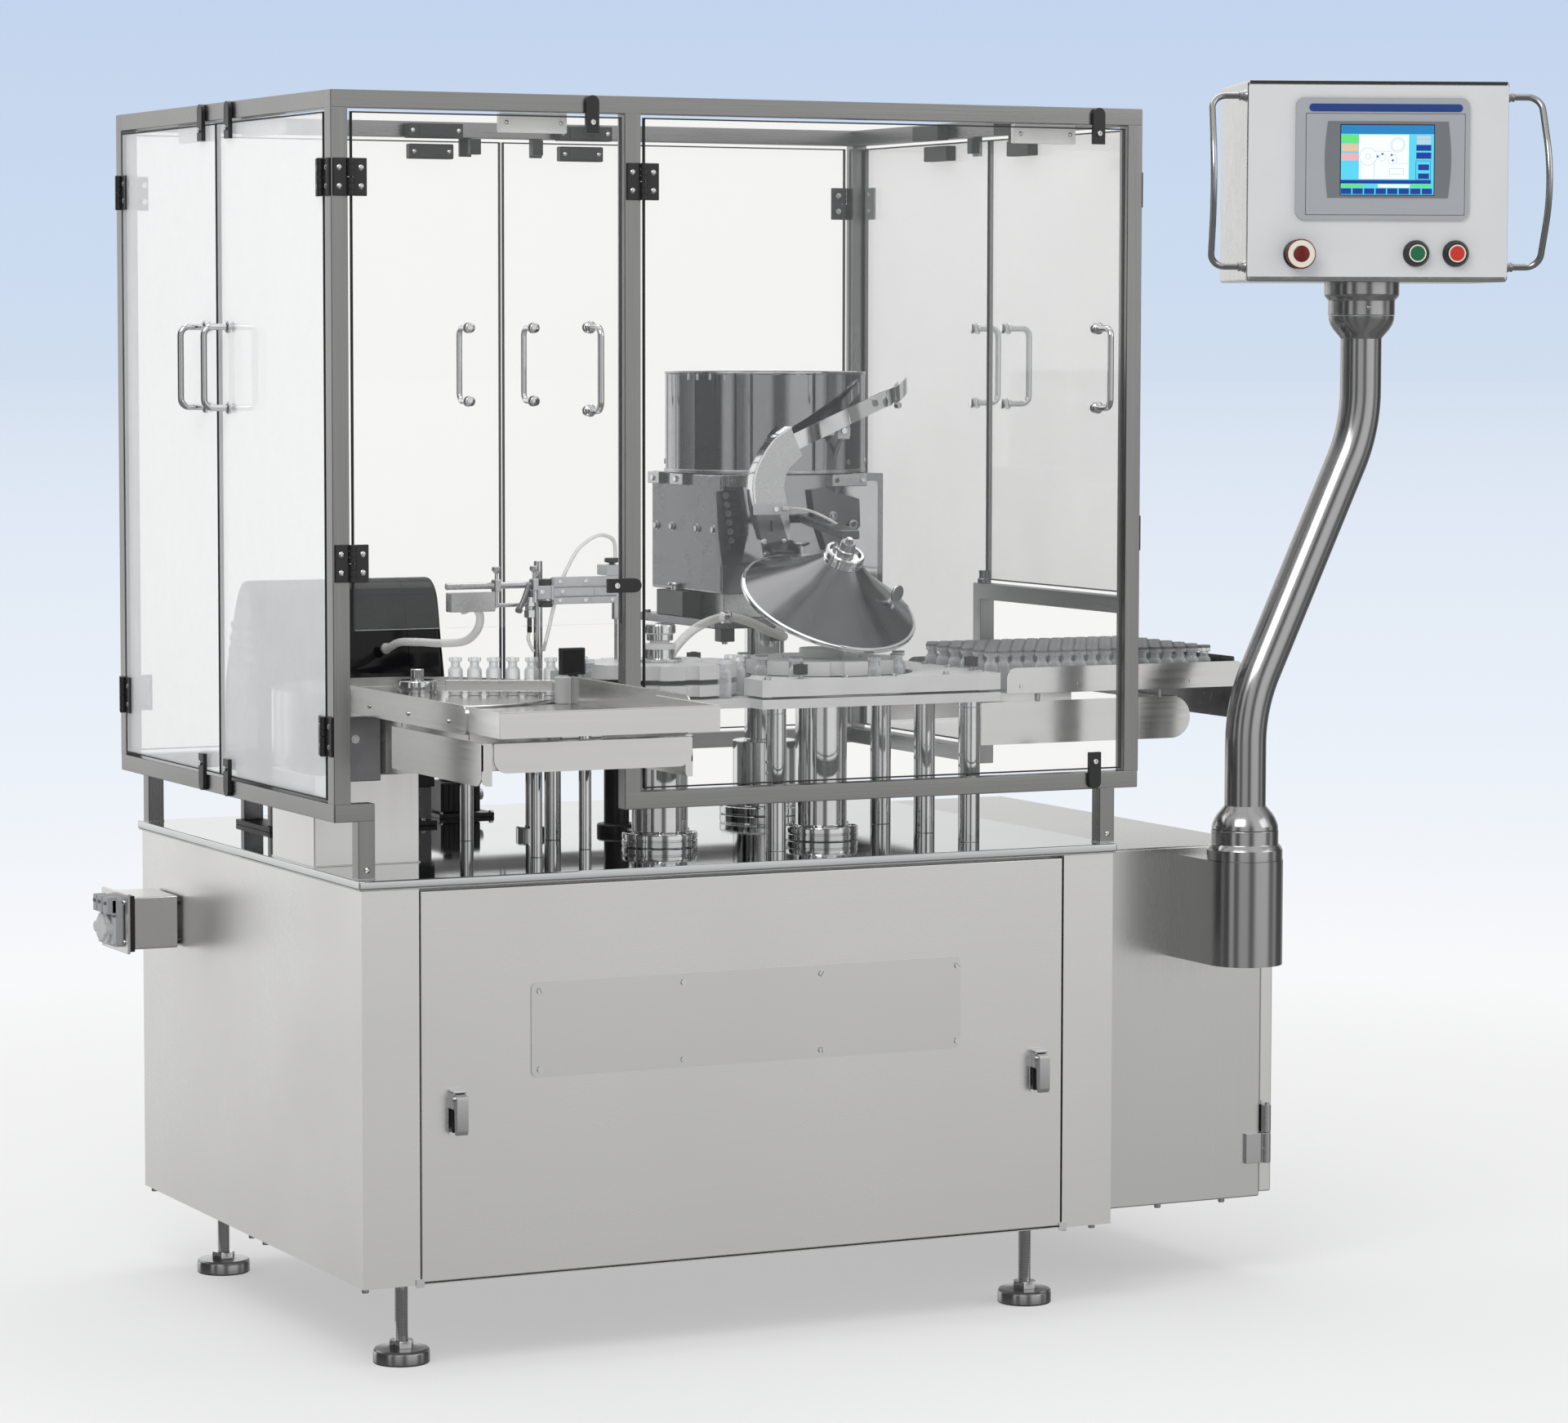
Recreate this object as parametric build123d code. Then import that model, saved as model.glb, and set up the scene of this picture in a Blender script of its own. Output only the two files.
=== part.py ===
from build123d import *
import math
import os

# Filling and capping monoblock, millimetres, +Z up.
# All stations below are given in the cabinet frame: X = 0 at the left face of the
# main cabinet, Y = 0 at its front face, Z = 0 at its underside. At export every
# piece is moved by SHIFT, so that the origin lies on the floor under the middle
# of the whole machine.

# ---------------------------------------------------------------- main sizes
CAB_W, CAB_D, CAB_H = 1219.2, 957.0, 570.0        # main cabinet
FLOOR_Z = -130.0                                  # floor below the cabinet underside
PLATE_T, TOP = 13.0, 583.0                        # table plate and its upper face
LIP_F, LIP_B = 5.0, 9.0                           # plate overhang, front and sides / back
EC_X1, EC_Y0, EC_H = 1549.7, 106.6, 559.0         # electrical cabinet: right end, front, height
TUBE = 25.4                                       # square guard tube
GX0, GX1 = -34.3, 1271.0                          # guard frame, outside
GY0, GY1 = 15.5, 955.8
GZ0, GZ1 = 665.6, 1691.9
MID_X = 414.6                                     # middle front post, left edge
IP_Y = 476.0                                      # short post of the outfeed opening, front edge
OUT_Z = 930.0                                     # underside of the rail over the outfeed opening
LEG_L, LEG_R = 1.9, 1204.6                        # legs, left edges
DOOR_T, DOOR_GAP = 6.0, 5.0                       # clear door panels and the gap around them
DOOR_TOP = GZ1 - TUBE - DOOR_GAP
DOOR_BOT = GZ0 + TUBE + DOOR_GAP
HANDLE_Z0, HANDLE_Z1 = 1243.0, 1362.0             # pull handles
FOOT_DX, FOOT_DY = 96.0, 97.5                     # levelling feet, from the cabinet corners
ARM_X, ARM_Y, ARM_R = 1440.0, -20.0, 59.0         # swivel axis of the terminal arm
HMI_X, HMI_Y = 1641.0, -20.0                      # swivel axis of the operator terminal
HMI_W, HMI_D, HMI_H, HMI_Z0, HMI_YAW = 401.7, 232.0, 302.3, 1433.2, 21.1
HINGE_OUT = 5.5                                   # guard hinge axes, outside the frame's outer faces
TRAY_Z = 808.0                                    # floor of the infeed and outfeed trays
WHEEL_Z0, WHEEL_Z1 = 815.0, 861.0                 # lower and upper faces of the transfer wheels
SHIFT = (-878.0717, -335.4, 130.0)                  # cabinet frame to the part's own frame

parts = {}


def put(name, *shapes):
    parts.setdefault(name, []).extend(shapes)


def bx(x0, x1, y0, y1, z0, z1):
    return Pos((x0 + x1) / 2, (y0 + y1) / 2, (z0 + z1) / 2) * Box(x1 - x0, y1 - y0, z1 - z0)


def cyl(x, y, z0, z1, r):
    return Pos(x, y, (z0 + z1) / 2) * Cylinder(r, z1 - z0)


def rod(p0, p1, r):
    a, b = Vector(*p0), Vector(*p1)
    plane = Plane(origin=a, z_dir=(b - a))
    return plane * (Pos(0, 0, (b - a).length / 2) * Cylinder(r, (b - a).length))


def spin(x, y, profile):
    """Solid of revolution about a vertical axis, from (radius, z) points."""
    pts = [(r, z) for r, z in profile]
    face = make_face(Polyline([(r, 0, z) for r, z in pts] + [(pts[0][0], 0, pts[0][1])]))
    return Pos(x, y, 0) * revolve(face, Axis.Z)


def bent(points, radii, r):
    path = FilletPolyline(*points, radius=radii) if len(points) > 2 else Line(*points)
    start = Plane(origin=points[0], z_dir=Vector(*points[1]) - Vector(*points[0]))
    return sweep(start * Circle(r), path=path)


def bar(p0, p1, w, h):
    """Straight bar of rectangular section, w wide and h high, from p0 to p1."""
    a, b = Vector(*p0), Vector(*p1)
    return Plane(origin=(a + b) * 0.5, x_dir=(b - a), z_dir=(Vector(0, 0, 1) - (b - a).normalized() * ((b - a).normalized().Z)).normalized()) * Box((b - a).length, w, h)


# ---------------------------------------------------------------- base
cab = bx(0, CAB_W, 0, CAB_D, 0, CAB_H)
PX0, PX1, PZ0, PZ1 = 87.0, 1134.0, 2.0, 567.0
cab -= bx(PX0, PX1, -1, 22, PZ0 - 3, PZ1)
put("base_cabinet", cab)
put("front_access_panel", bx(PX0 + 2, PX1 - 2, 0, 20, PZ0 + 1, PZ1 - 2))
NP = (259.0, 957.0, 287.0, 425.0)
plate = extrude(Plane(origin=((NP[0] + NP[1]) / 2, 0, (NP[2] + NP[3]) / 2), x_dir=(1, 0, 0), z_dir=(0, -1, 0)) * RectangleRounded(NP[1] - NP[0], NP[3] - NP[2], 10), amount=1.5)
put("name_plate", plate)
for lx in (143.2, 1089.6):
    body = bx(lx - 15, lx + 15, -10, 0, 213, 277) + bx(lx - 9, lx + 9, -20, -10, 222, 262)
    put("panel_latches", body)
put("table_plate", bx(-LIP_F, CAB_W + LIP_F, -LIP_F, CAB_D + LIP_B, CAB_H, TOP))
for fx in (FOOT_DX, CAB_W - FOOT_DX):
    for fy in (FOOT_DY, CAB_D - FOOT_DY):
        foot = spin(fx, fy, [(0, FLOOR_Z), (39, FLOOR_Z), (41.3, FLOOR_Z + 2.5), (41.3, FLOOR_Z + 19), (39.3, FLOOR_Z + 21), (17, FLOOR_Z + 21), (17, FLOOR_Z + 31), (10, FLOOR_Z + 31), (10, 0), (0, 0)])
        put("leveling_feet", foot)
ec = bx(CAB_W + 0.0, EC_X1, EC_Y0, CAB_D, 0, EC_H)
put("electrical_cabinet", ec)
ED_X0 = EC_X1 + 1.5
EH_X, EH_Y = 1558.0, 99.0
door = bx(ED_X0, ED_X0 + 22, EC_Y0 + 4, CAB_D - 6, 6, 552)
for z0 in (54, 420):
    door += bx(ED_X0, ED_X0 + 6, EH_Y, EC_Y0 + 6, z0 + 48, z0 + 92) + cyl(EH_X, EH_Y, z0 + 48, z0 + 92, 6.5)
put("electrical_cabinet_door", door)
for z0 in (54, 420):
    put("electrical_cabinet", bx(EC_X1 - 30, EC_X1 + 3, EC_Y0 - 6, EC_Y0, z0, z0 + 47) + cyl(EH_X, EH_Y, z0, z0 + 47, 6.5) + bx(EC_X1, EH_X, EC_Y0 - 8, EC_Y0 - 4, z0, z0 + 47))
# disconnect box on the left side
dbx = bx(-76, -5, 774, 890, 402, 483) + bx(-86, -76, 768, 896, 396, 489)
for y in (784, 880):
    for z in (412, 473):
        dbx += bx(-5, 0, y - 5, y + 5, z - 5, z + 5)
put("disconnect_box", dbx)
dsw = bx(-96, -86, 784, 880, 404, 480) + bx(-112, -96, 796, 868, 455, 482)
dsw += rod((-114, 832, 432), (-96, 832, 432), 26)
put("disconnect_switch", dsw)

# ---------------------------------------------------------------- guard frame
t = TUBE
ZT = GZ1 - t
ZB = GZ0 + t
put("guard_posts",
    bx(GX0, GX0 + t, GY0, GY0 + t, GZ0, ZT), bx(GX1 - t, GX1, GY0, GY0 + t, GZ0, ZT),
    bx(GX0, GX0 + t, GY1 - t, GY1, GZ0, ZT), bx(GX1 - t, GX1, GY1 - t, GY1, GZ0, ZT),
    bx(MID_X, MID_X + t, GY0, GY0 + t, GZ0, ZT),
    bx(GX1 - t, GX1, IP_Y, IP_Y + t, GZ0, OUT_Z))
put("guard_upper_rails",
    bx(GX0, GX1, GY0, GY0 + t, ZT, GZ1), bx(GX0, GX1, GY1 - t, GY1, ZT, GZ1),
    bx(GX0, GX0 + t, GY0 + t, GY1 - t, ZT, GZ1), bx(GX1 - t, GX1, GY0 + t, GY1 - t, ZT, GZ1))
put("guard_lower_rails",
    bx(MID_X + t, GX1 - t, GY0, GY0 + t, GZ0, ZB), bx(GX0 + t, GX1 - t, GY1 - t, GY1, GZ0, ZB),
    bx(GX0, GX0 + t, GY0 + t, GY1 - t, GZ0, ZB), bx(GX1 - t, GX1, IP_Y + t, GY1 - t, GZ0, ZB),
    bx(GX0 + t, LEG_L + t, GY0, GY0 + t, GZ0, ZB),
    bx(GX1 - t, GX1, GY0 + t, IP_Y + t, OUT_Z, OUT_Z + t))
put("guard_legs",
    bx(LEG_L, LEG_L + t, GY0, GY0 + t, TOP, GZ0), bx(LEG_R, LEG_R + t, GY0, GY0 + t, TOP, GZ0),
    bx(LEG_L, LEG_L + t, GY1 - t, GY1, TOP, GZ0), bx(LEG_R, LEG_R + t, GY1 - t, GY1, TOP, GZ0))


# ---------------------------------------------------------------- guard doors
def door_set(name, hx, hy, tdir, ndir, length, z0, z1, hinges, handle_s, tabs, htab=None, notch=None):
    tx, ty = tdir
    nx, ny = ndir
    right = tx * ny - ty * nx > 0

    def B(s0, s1, n0, n1, a, b):
        xs = sorted((hx + s0 * tx + n0 * nx, hx + s1 * tx + n1 * nx))
        ys = sorted((hy + s0 * ty + n0 * ny, hy + s1 * ty + n1 * ny))
        return bx(xs[0], xs[1], ys[0], ys[1], a, b)

    def P(s, n, z):
        return (hx + s * tx + n * nx, hy + s * ty + n * ny, z)

    h = -HINGE_OUT
    panel = B(2.6, length, h - DOOR_T, h, z0, z1)
    if notch:
        panel -= B(notch[0], length + 1, h - DOOR_T - 1, 0, z0 - 1, notch[1])
    put(name, panel)
    fit = name + "_fittings"
    for a, b in hinges:
        m = (a + b) / 2
        put(fit, B(5.6, 25, h, h + 3, a, b) + B(1.5, 5.6, h + 0.6, h + 3, m + 0.3, b) + cyl(hx, hy, m + 0.3, b, 5))
        put("fixed_hinge_leaves", B(-25, -5.6, h, h + 3, a, b) + B(-5.6, -1.5, h + 0.6, h + 3, a, m - 0.3) + cyl(hx, hy, a, m - 0.3, 5))
    hs = handle_s
    bar = bent([P(hs, h + 3, HANDLE_Z0), P(hs, h + 40, HANDLE_Z0), P(hs, h + 40, HANDLE_Z1), P(hs, h + 3, HANDLE_Z1)], 14, 5.0)
    for z in (HANDLE_Z0, HANDLE_Z1):
        bar += rod(P(hs, h, z), P(hs, h + 6, z), 9)
    put(fit, bar)
    for s, up in tabs:
        if up:
            put(fit, B(s - 10, s + 10, h + 0.5, h + 6.5, z1 - 24, GZ1) + B(s - 10, s + 10, h, h + 0.5, z1 - 24, z1 - 2))
        else:
            put(fit, B(s - 10, s + 10, h + 0.5, h + 6.5, GZ0 + 1, z0 + 26) + B(s - 10, s + 10, h, h + 0.5, z0 + 2, z0 + 26))
    if htab:
        s0, s1, zc = htab
        put(fit, B(s0, s1, h + 0.5, h + 6.5, zc - 10, zc + 10) + B(s0, length - 2, h, h + 0.5, zc - 10, zc + 10))


UP, LO, LOS = (1544.0, 1597.0), (758.0, 814.0), (1004.0, 1057.0)
F0, F1 = GX0 + t, GX1 - t                    # inner edges of the corner posts along X
S0, S1 = GY0 + t, GY1 - t                    # inner edges along Y
HOFF = 2.4                                   # hinge axis, inboard of the post edge
XM = (F0 + F1) / 2 - 2.0
YM = 490.0
door_set("front_left_door", F0 + HOFF, GY0 - HINGE_OUT, (1, 0), (0, -1), MID_X - DOOR_GAP - (F0 + HOFF), 936.0, DOOR_TOP, (UP, LOS), 359 - (F0 + HOFF), [(362 - (F0 + HOFF), True)], (385 - (F0 + HOFF), 438 - (F0 + HOFF), 991.0))
door_set("front_right_door", MID_X + t + HOFF, GY0 - HINGE_OUT, (1, 0), (0, -1), F1 - DOOR_GAP - (MID_X + t + HOFF), DOOR_BOT, DOOR_TOP, (UP, LO), 1195 - (MID_X + t + HOFF), [(1192.5 - (MID_X + t + HOFF), True), (1192.5 - (MID_X + t + HOFF), False)])
door_set("left_front_door", GX0 - HINGE_OUT, S0 + HOFF, (0, 1), (-1, 0), YM - 2.5 - (S0 + HOFF), DOOR_BOT, DOOR_TOP, (UP, LO), 438 - (S0 + HOFF), [(428 - (S0 + HOFF), True), (450 - (S0 + HOFF), False)])
door_set("left_rear_door", GX0 - HINGE_OUT, S1 - HOFF, (0, -1), (-1, 0), (S1 - HOFF) - (YM + 2.5), DOOR_BOT, DOOR_TOP, (UP, LO), (S1 - HOFF) - 541, [((S1 - HOFF) - 546, True), ((S1 - HOFF) - 560, False)])
door_set("back_left_door", F0 + HOFF, GY1 + HINGE_OUT, (1, 0), (0, 1), XM - 2.5 - (F0 + HOFF), DOOR_BOT, DOOR_TOP, (UP, LO), 560 - (F0 + HOFF), [(556 - (F0 + HOFF), True), (556 - (F0 + HOFF), False)])
door_set("back_right_door", F1 - HOFF, GY1 + HINGE_OUT, (-1, 0), (0, 1), (F1 - HOFF) - (XM + 2.5), DOOR_BOT, DOOR_TOP, (UP, LO), (F1 - HOFF) - 674, [((F1 - HOFF) - 680, True), ((F1 - HOFF) - 680, False)])
door_set("right_rear_door", GX1 + HINGE_OUT, S1 - HOFF, (0, -1), (1, 0), (S1 - HOFF) - (YM + 2.5), DOOR_BOT, DOOR_TOP, (UP, LO), (S1 - HOFF) - 541, [((S1 - HOFF) - 546, True), ((S1 - HOFF) - 560, False)], notch=((S1 - HOFF) - (IP_Y + t + DOOR_GAP), OUT_Z + t + DOOR_GAP))
door_set("right_front_door", GX1 + HINGE_OUT, S0 + HOFF, (0, 1), (1, 0), YM - 2.5 - (S0 + HOFF), OUT_Z + t + DOOR_GAP, DOOR_TOP, (UP, (1026.0, 1079.0)), 438 - (S0 + HOFF), [(428 - (S0 + HOFF), True)])

# interlock switches below the upper rails
for x in (438.0, 700.0):
    put("interlock_switches", bx(x, x + 95, GY1 - t - 22, GY1 - t, ZT - 2, ZT + 22))
for y in (314.0, 590.0):
    put("interlock_switches", bx(GX1 - t - 22, GX1 - t, y, y + 90, ZT - 2, ZT + 22))

# ---------------------------------------------------------------- infeed
TX0, TX1, TYF = 74.0, 403.0, -330.0               # tray sides and front lip
TT_X, TT_Y, TT_R = 238.0, 381.0, 213.0            # turntable
tray = bx(TX0, TX1, TYF, 196, TRAY_Z - 2, TRAY_Z)
tray += bx(TX0, TX1, TYF, TYF + 2, 807, 841) + bx(TX0, TX0 + 2, TYF, -120, 807, 841) + bx(TX1 - 2, TX1, TYF, -120, 807, 841)
put("infeed_tray", tray - cyl(TT_X, TT_Y, 700, 900, TT_R + 5))
put("infeed_side_rails",
    bx(TX0 - 2.5, TX0 - 0.1, -214, 234, 803, 843),
    bx(TX1 + 0.1, TX1 + 2.5, -231, 185, 806, 849),
    cyl(TX1 - 6, 200, TRAY_Z, 848, 12.5))
apron = bx(92, TX1 - 12, -265, -263, 753, 794) + bx(92, TX1 - 12, -263, -240, 792, 794)
put("infeed_tray", apron,
    bx(TX0, TX0 + 2, -265, 69, 735, 795) + bx(TX0 + 2, TX0 + 14, -265, -263, 735, 795),
    bx(TX1 - 2, TX1, -240, 69, 735, 795) + bx(TX1 - 10, TX1 - 2, -240, -238, 735, 795))
drum = cyl(TT_X, TT_Y, 715, 803, TT_R + 4) + (cyl(TT_X, TT_Y, 803, 826, TT_R + 4) - cyl(TT_X, TT_Y, 800, 830, TT_R + 1))
cut = bx(TX0 - 4, TX1 + 30, 0, 300, 804, 840) + bx(330, 520, 200, 420, 804, 840)
put("turntable_housing", drum - cut)
put("infeed_disc", cyl(TT_X, TT_Y, 806, 812, TT_R) + spin(TT_X, TT_Y, [(0, 812), (29, 812), (29, 834), (27, 836), (10, 836), (10, 853), (0, 853)]) + cyl(TT_X, TT_Y, 803.3, 806, 30))
rail0, rail1 = Vector(279, 370, 827), Vector(447, 290, 827)
put("infeed_guides", Plane(origin=(rail0 + rail1) * 0.5, x_dir=(rail1 - rail0), z_dir=(0, 0, 1)) * Box((rail1 - rail0).length, 3, 17),
    bx(440, 455, 270, 287, 811, 818.5), bx(418, 457, 254, 266, 846, 886) + bx(432, 446, 256, 264, 811, 846))
put("infeed_pedestal", bx(5, 168, 200, 375, TOP, 715))
put("infeed_pedestal", bx(40, 104, 186, 199.5, 706, 800))

# ---------------------------------------------------------------- filling pump
PU_X0, PU_X1, PU_Z0 = 99.6, 411.0, 672.0
# cowl section as (y, z): steep front wall, rounded crown, flared back wall
cowl = [(688, 672), (688, 718), (691, 805), (699, 845), (708, 880), (720, 935), (730, 955), (744, 967), (757, 970.6), (770, 967),
        (783, 955), (795, 936), (818, 889), (838, 840), (850, 795), (854, 705), (854, 672)]
put("filling_pump", extrude(Plane(origin=(PU_X0, 0, 0), x_dir=(0, 1, 0), z_dir=(1, 0, 0)) * Polygon(*cowl, align=None), PU_X1 - PU_X0, dir=(1, 0, 0)))
put("filling_pump", bx(116, 395, 700, 842, TOP + 60, PU_Z0), bx(116, 160, 690, 845, TOP, TOP + 60), bx(350, 395, 690, 845, TOP, TOP + 60),
    bx(440, 510, 790, 850, TOP + 8, TOP + 70), bx(435, 530, 780, 860, TOP, TOP + 8))

# ---------------------------------------------------------------- drive columns and posts
SW_X, SW_Y, SW_R = 584.3, 266.0, 118.0            # starwheel
CD_X, CD_Y, CD_R = 849.7, 253.0, 120.0            # capping dial
BW_X, BW_Y, BW_R = 951.0, 661.0, 162.0            # stopper bowl
put("drive_columns",
    spin(SW_X, SW_Y, [(0, TOP), (55, TOP), (57, TOP + 2), (57, 603), (55, 605), (42.5, 605), (42.5, 796), (0, 796)]),
    spin(CD_X, CD_Y, [(0, TOP), (54.5, TOP), (56.5, TOP + 2), (56.5, 603), (54.5, 605), (39.4, 605), (39.4, 796), (0, 796)]),
    spin(BW_X, BW_Y, [(0, TOP), (71, TOP), (73, TOP + 2), (73, 610), (71, 612), (51, 612), (51, 701), (32, 701), (32, 891), (0, 891)]),
    spin(610.6, 484.0, [(0, TOP), (30.6, TOP), (30.6, 596), (19.6, 596), (19.6, 797), (0, 797)]),
    spin(468.4, 490.0, [(0, TOP), (22.6, TOP), (22.6, 597), (8, 597), (8, 797), (0, 797)]))
for x, y, r, z in ((348.8, 457.1, 10.2, 715), (350.3, 192.6, 9.2, 715), (472.4, 414.0, 12.8, 797), (460.9, 265.1, 9.5, 797),
                   (710.4, 124.6, 15.2, 797), (1039.7, 423.4, 16.3, 797), (1037.4, 270.7, 16.4, 797), (1034.7, 119.4, 16.5, 797)):
    put("support_posts", cyl(x, y, TOP, z, r))


def scallop(cx, cy, r, n, rp, rot, z0, z1):
    w = cyl(cx, cy, z0, z1, r)
    for k in range(n):
        a = math.radians(rot + 360.0 * k / n)
        w -= cyl(cx + r * math.cos(a), cy + r * math.sin(a), z0 - 1, z1 + 1, rp)
    return w


PITCH = 11.6                                      # vial pocket radius
put("starwheel", scallop(SW_X, SW_Y, SW_R, 12, PITCH, 0, 840, WHEEL_Z1), scallop(SW_X, SW_Y, SW_R, 12, PITCH, 0, WHEEL_Z0, 832))
put("starwheel", cyl(SW_X, SW_Y, 797.2, WHEEL_Z0, 30))
put("starwheel", cyl(SW_X, SW_Y, 832, 840, 34), spin(SW_X, SW_Y, [(0, 861), (34, 861), (34, 866), (24, 866), (24, 893), (15, 893), (15, 899), (24, 899), (24, 916), (21, 919), (0, 919)]))
put("capping_dial", scallop(CD_X, CD_Y, CD_R, 12, PITCH, 15, 840, WHEEL_Z1), scallop(CD_X, CD_Y, CD_R, 12, PITCH, 15, WHEEL_Z0, 832),
    cyl(CD_X, CD_Y, 797.2, WHEEL_Z0, 30), cyl(CD_X, CD_Y, 832, 840, 34), cyl(CD_X, CD_Y, 861, 876, 34))
# guide plates round the wheels
GR = 5.5                                          # running clearance round the wheels
deck = bx(676, 1078, 100, 440, 797, 811) + bx(425, 700, 250, 446, 797, 811)
rings = cyl(SW_X, SW_Y, 700, 1000, SW_R + 14 + GR) + cyl(CD_X, CD_Y, 700, 1000, CD_R + 14 + GR)
bores = cyl(SW_X, SW_Y, 700, 900, 36) + cyl(CD_X, CD_Y, 700, 900, 36)
deck = (deck + bx(470, 700, 140, 300, 797, 811)) - bores - cyl(TT_X, TT_Y, 700, 900, TT_R + 7)
upper = bx(676, 1078, 100, 440, 815, 840) - rings
upper_l = bx(480, 676, 300, 440, 815, 840) - rings - cyl(TT_X, TT_Y, 700, 900, TT_R + 7)
put("guide_plates", deck)
for s in (upper.solids() + upper_l.solids()):
    put("guide_plates", s)
put("support_posts", *[cyl(x, y, 811, 815, 9) for x, y in ((1060, 130), (1060, 400), (700, 420), (700, 130))])

# ---------------------------------------------------------------- outfeed
outfeed = bx(1084, 1500, 113, 438, TRAY_Z - 2, TRAY_Z) + bx(1095, 1514, 111, 113, 807, 846) + bx(1095, 1500, 436, 438, 807, 846)
outfeed += bx(1498, 1500, 113, 438, 757, 853)
put("outfeed_tray", outfeed)
lower = bx(1054, 1390, 117, 119, 729, 794) + (Pos(1390, 118, 761.5) * Rot(90, 0, 0) * Cylinder(32.5, 2))
put("outfeed_tray", lower, cyl(1152, 118, 794, 806, 4), cyl(1368, 118, 794, 806, 4))

# ---------------------------------------------------------------- stopper bowl
bowl = cyl(BW_X, BW_Y, 1133, 1293, BW_R) - cyl(BW_X, BW_Y, 1140, 1300, BW_R - 3)
put("stopper_bowl", bowl)
put("bowl_drive_cover", bx(811, 1096, 526, 790, 944, 1132.7))
put("bowl_mount_plate", bx(792, 1100, 511, 800, 891, 904) + bx(830, 1075, 560, 760, 904, 944))
# chute from the bowl's rim down to the cone
cx = [(889, 1209), (856, 1186), (831, 1148), (824, 1119), (828, 1079), (842, 1033), (905, 1033), (888, 1070), (881, 1098), (878, 1118), (885, 1141), (909, 1164)]
CY0, CY1 = 440.0, 462.0
chute = extrude(make_face(Polyline(*[(x, CY1, z) for x, z in cx], (cx[0][0], CY1, cx[0][1]))), amount=CY1 - CY0, dir=(0, -1, 0))
put("stopper_chute", chute)


put("stopper_chute", bar((912, 474, 1190), (1010, 478, 1226), 16, 26), bar((1012, 479, 1227), (1110, 520, 1257), 16, 26), bar((1113, 522, 1258), (1160, 585, 1272), 16, 26))
put("stopper_chute", bar((872, 448, 1031), (868, 404, 1014), 46, 6))

# inclined stopper cone and its bracket
CN = Vector(0.07, -0.486, 0.871).normalized()
CP = Vector(866.6, 265.0, 939.7)
CONE_R = 138.6
cp = Plane(origin=CP, z_dir=CN)
cone = cp * (Pos(0, 0, 3) * Cylinder(CONE_R, 6))
cone += cp * (Pos(0, 0, 6 + 36) * Cone(CONE_R - 3, 36, 72))
cone += cp * (Pos(0, 0, 78 + 9) * Cylinder(31, 18))
put("stopper_cone", cone)
tip = CP + CN * 97
put("cone_bracket", rod(tuple(tip), tuple(CP + CN * 118), 12))
put("cone_bracket", bar((888, 232, 1048), (960, 522, 1062), 30, 14), bx(930, 1050, 522, 525.9, 1010, 1110))

# ---------------------------------------------------------------- filling head
FH_X, FH_Y = 457.0, 433.0                         # upright rod of the filling head
put("filling_head",
    cyl(FH_X, FH_Y, 811, 1008, 6.7) + bar((FH_X + 6, FH_Y + 14, 964), (420, 350, 964), 30, 22),
    bx(440, 552, 332, 347, 947, 988) + bx(424, 440, 334, 345, 955, 975), rod((271, 340, 977), (404, 340, 977), 5) + bx(402, 424, 334, 346, 966, 988), bx(528, 556, 334, 360, 988.5, 1004))

# ---------------------------------------------------------------- terminal arm
hs = bx(ARM_X - ARM_R, ARM_X + ARM_R, ARM_Y, EC_Y0, 390, 551) + cyl(ARM_X, ARM_Y, 390, 551, ARM_R)
hs += spin(ARM_X, ARM_Y, [(0, 551), (58, 551), (58, 567), (55, 572), (51.5, 576), (51.5, 597), (0, 597)])
put("arm_housing", hs)
arm_pts = [(ARM_X, ARM_Y, 620), (ARM_X, ARM_Y, 787), (HMI_X, HMI_Y, 1210), (HMI_X, HMI_Y, 1370)]
arm = bent(arm_pts, 260, 31.75)
arm += spin(ARM_X, ARM_Y, [(0, 597.6), (51, 597.6), (50, 606), (45, 618), (37, 628), (32.5, 634), (0, 634)])
arm += spin(HMI_X, HMI_Y, [(0, 1350), (32.5, 1350), (37, 1355), (45, 1365), (50, 1376), (51, 1382.4), (0, 1382.4)])
put("terminal_arm", arm)
HB = Pos(HMI_X, HMI_Y, 0) * Rot(0, 0, -HMI_YAW)
h2 = HMI_W / 2
yf = -HMI_D / 2
tb = HB * (bx(-h2, h2, yf, -yf, HMI_Z0, HMI_Z0 + HMI_H))
tb += spin(HMI_X, HMI_Y, [(0, 1383), (51.5, 1383), (51.5, 1406), (55, 1410), (58, 1415), (58, HMI_Z0 + 1), (0, HMI_Z0 + 1)])
put("terminal_box", tb)
put("operator_screen", HB * bx(-127.7, 138.4, yf - 6, yf, 1526.6, 1710))
for x, r, p in ((-123, 20.5, 34), (58.7, 20, 16), (119.5, 20, 16)):
    put("push_buttons", HB * rod((x, yf, 1475.5), (x, yf - p, 1475.5), r))
for sgn in (-1, 1):
    ya = yf + 16
    pts = [(sgn * h2, ya, 1713), (sgn * (h2 + 52), ya, 1713), (sgn * (h2 + 57), ya - 62, 1584.5), (sgn * (h2 + 52), ya, 1456), (sgn * h2, ya, 1456)]
    bow = bent(pts, [24, 150, 24], 5.2)
    for z in (1456, 1713):
        bow += rod((sgn * h2, ya, z), (sgn * (h2 + 9), ya, z), 8)
    put("terminal_handles", HB * bow)

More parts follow.
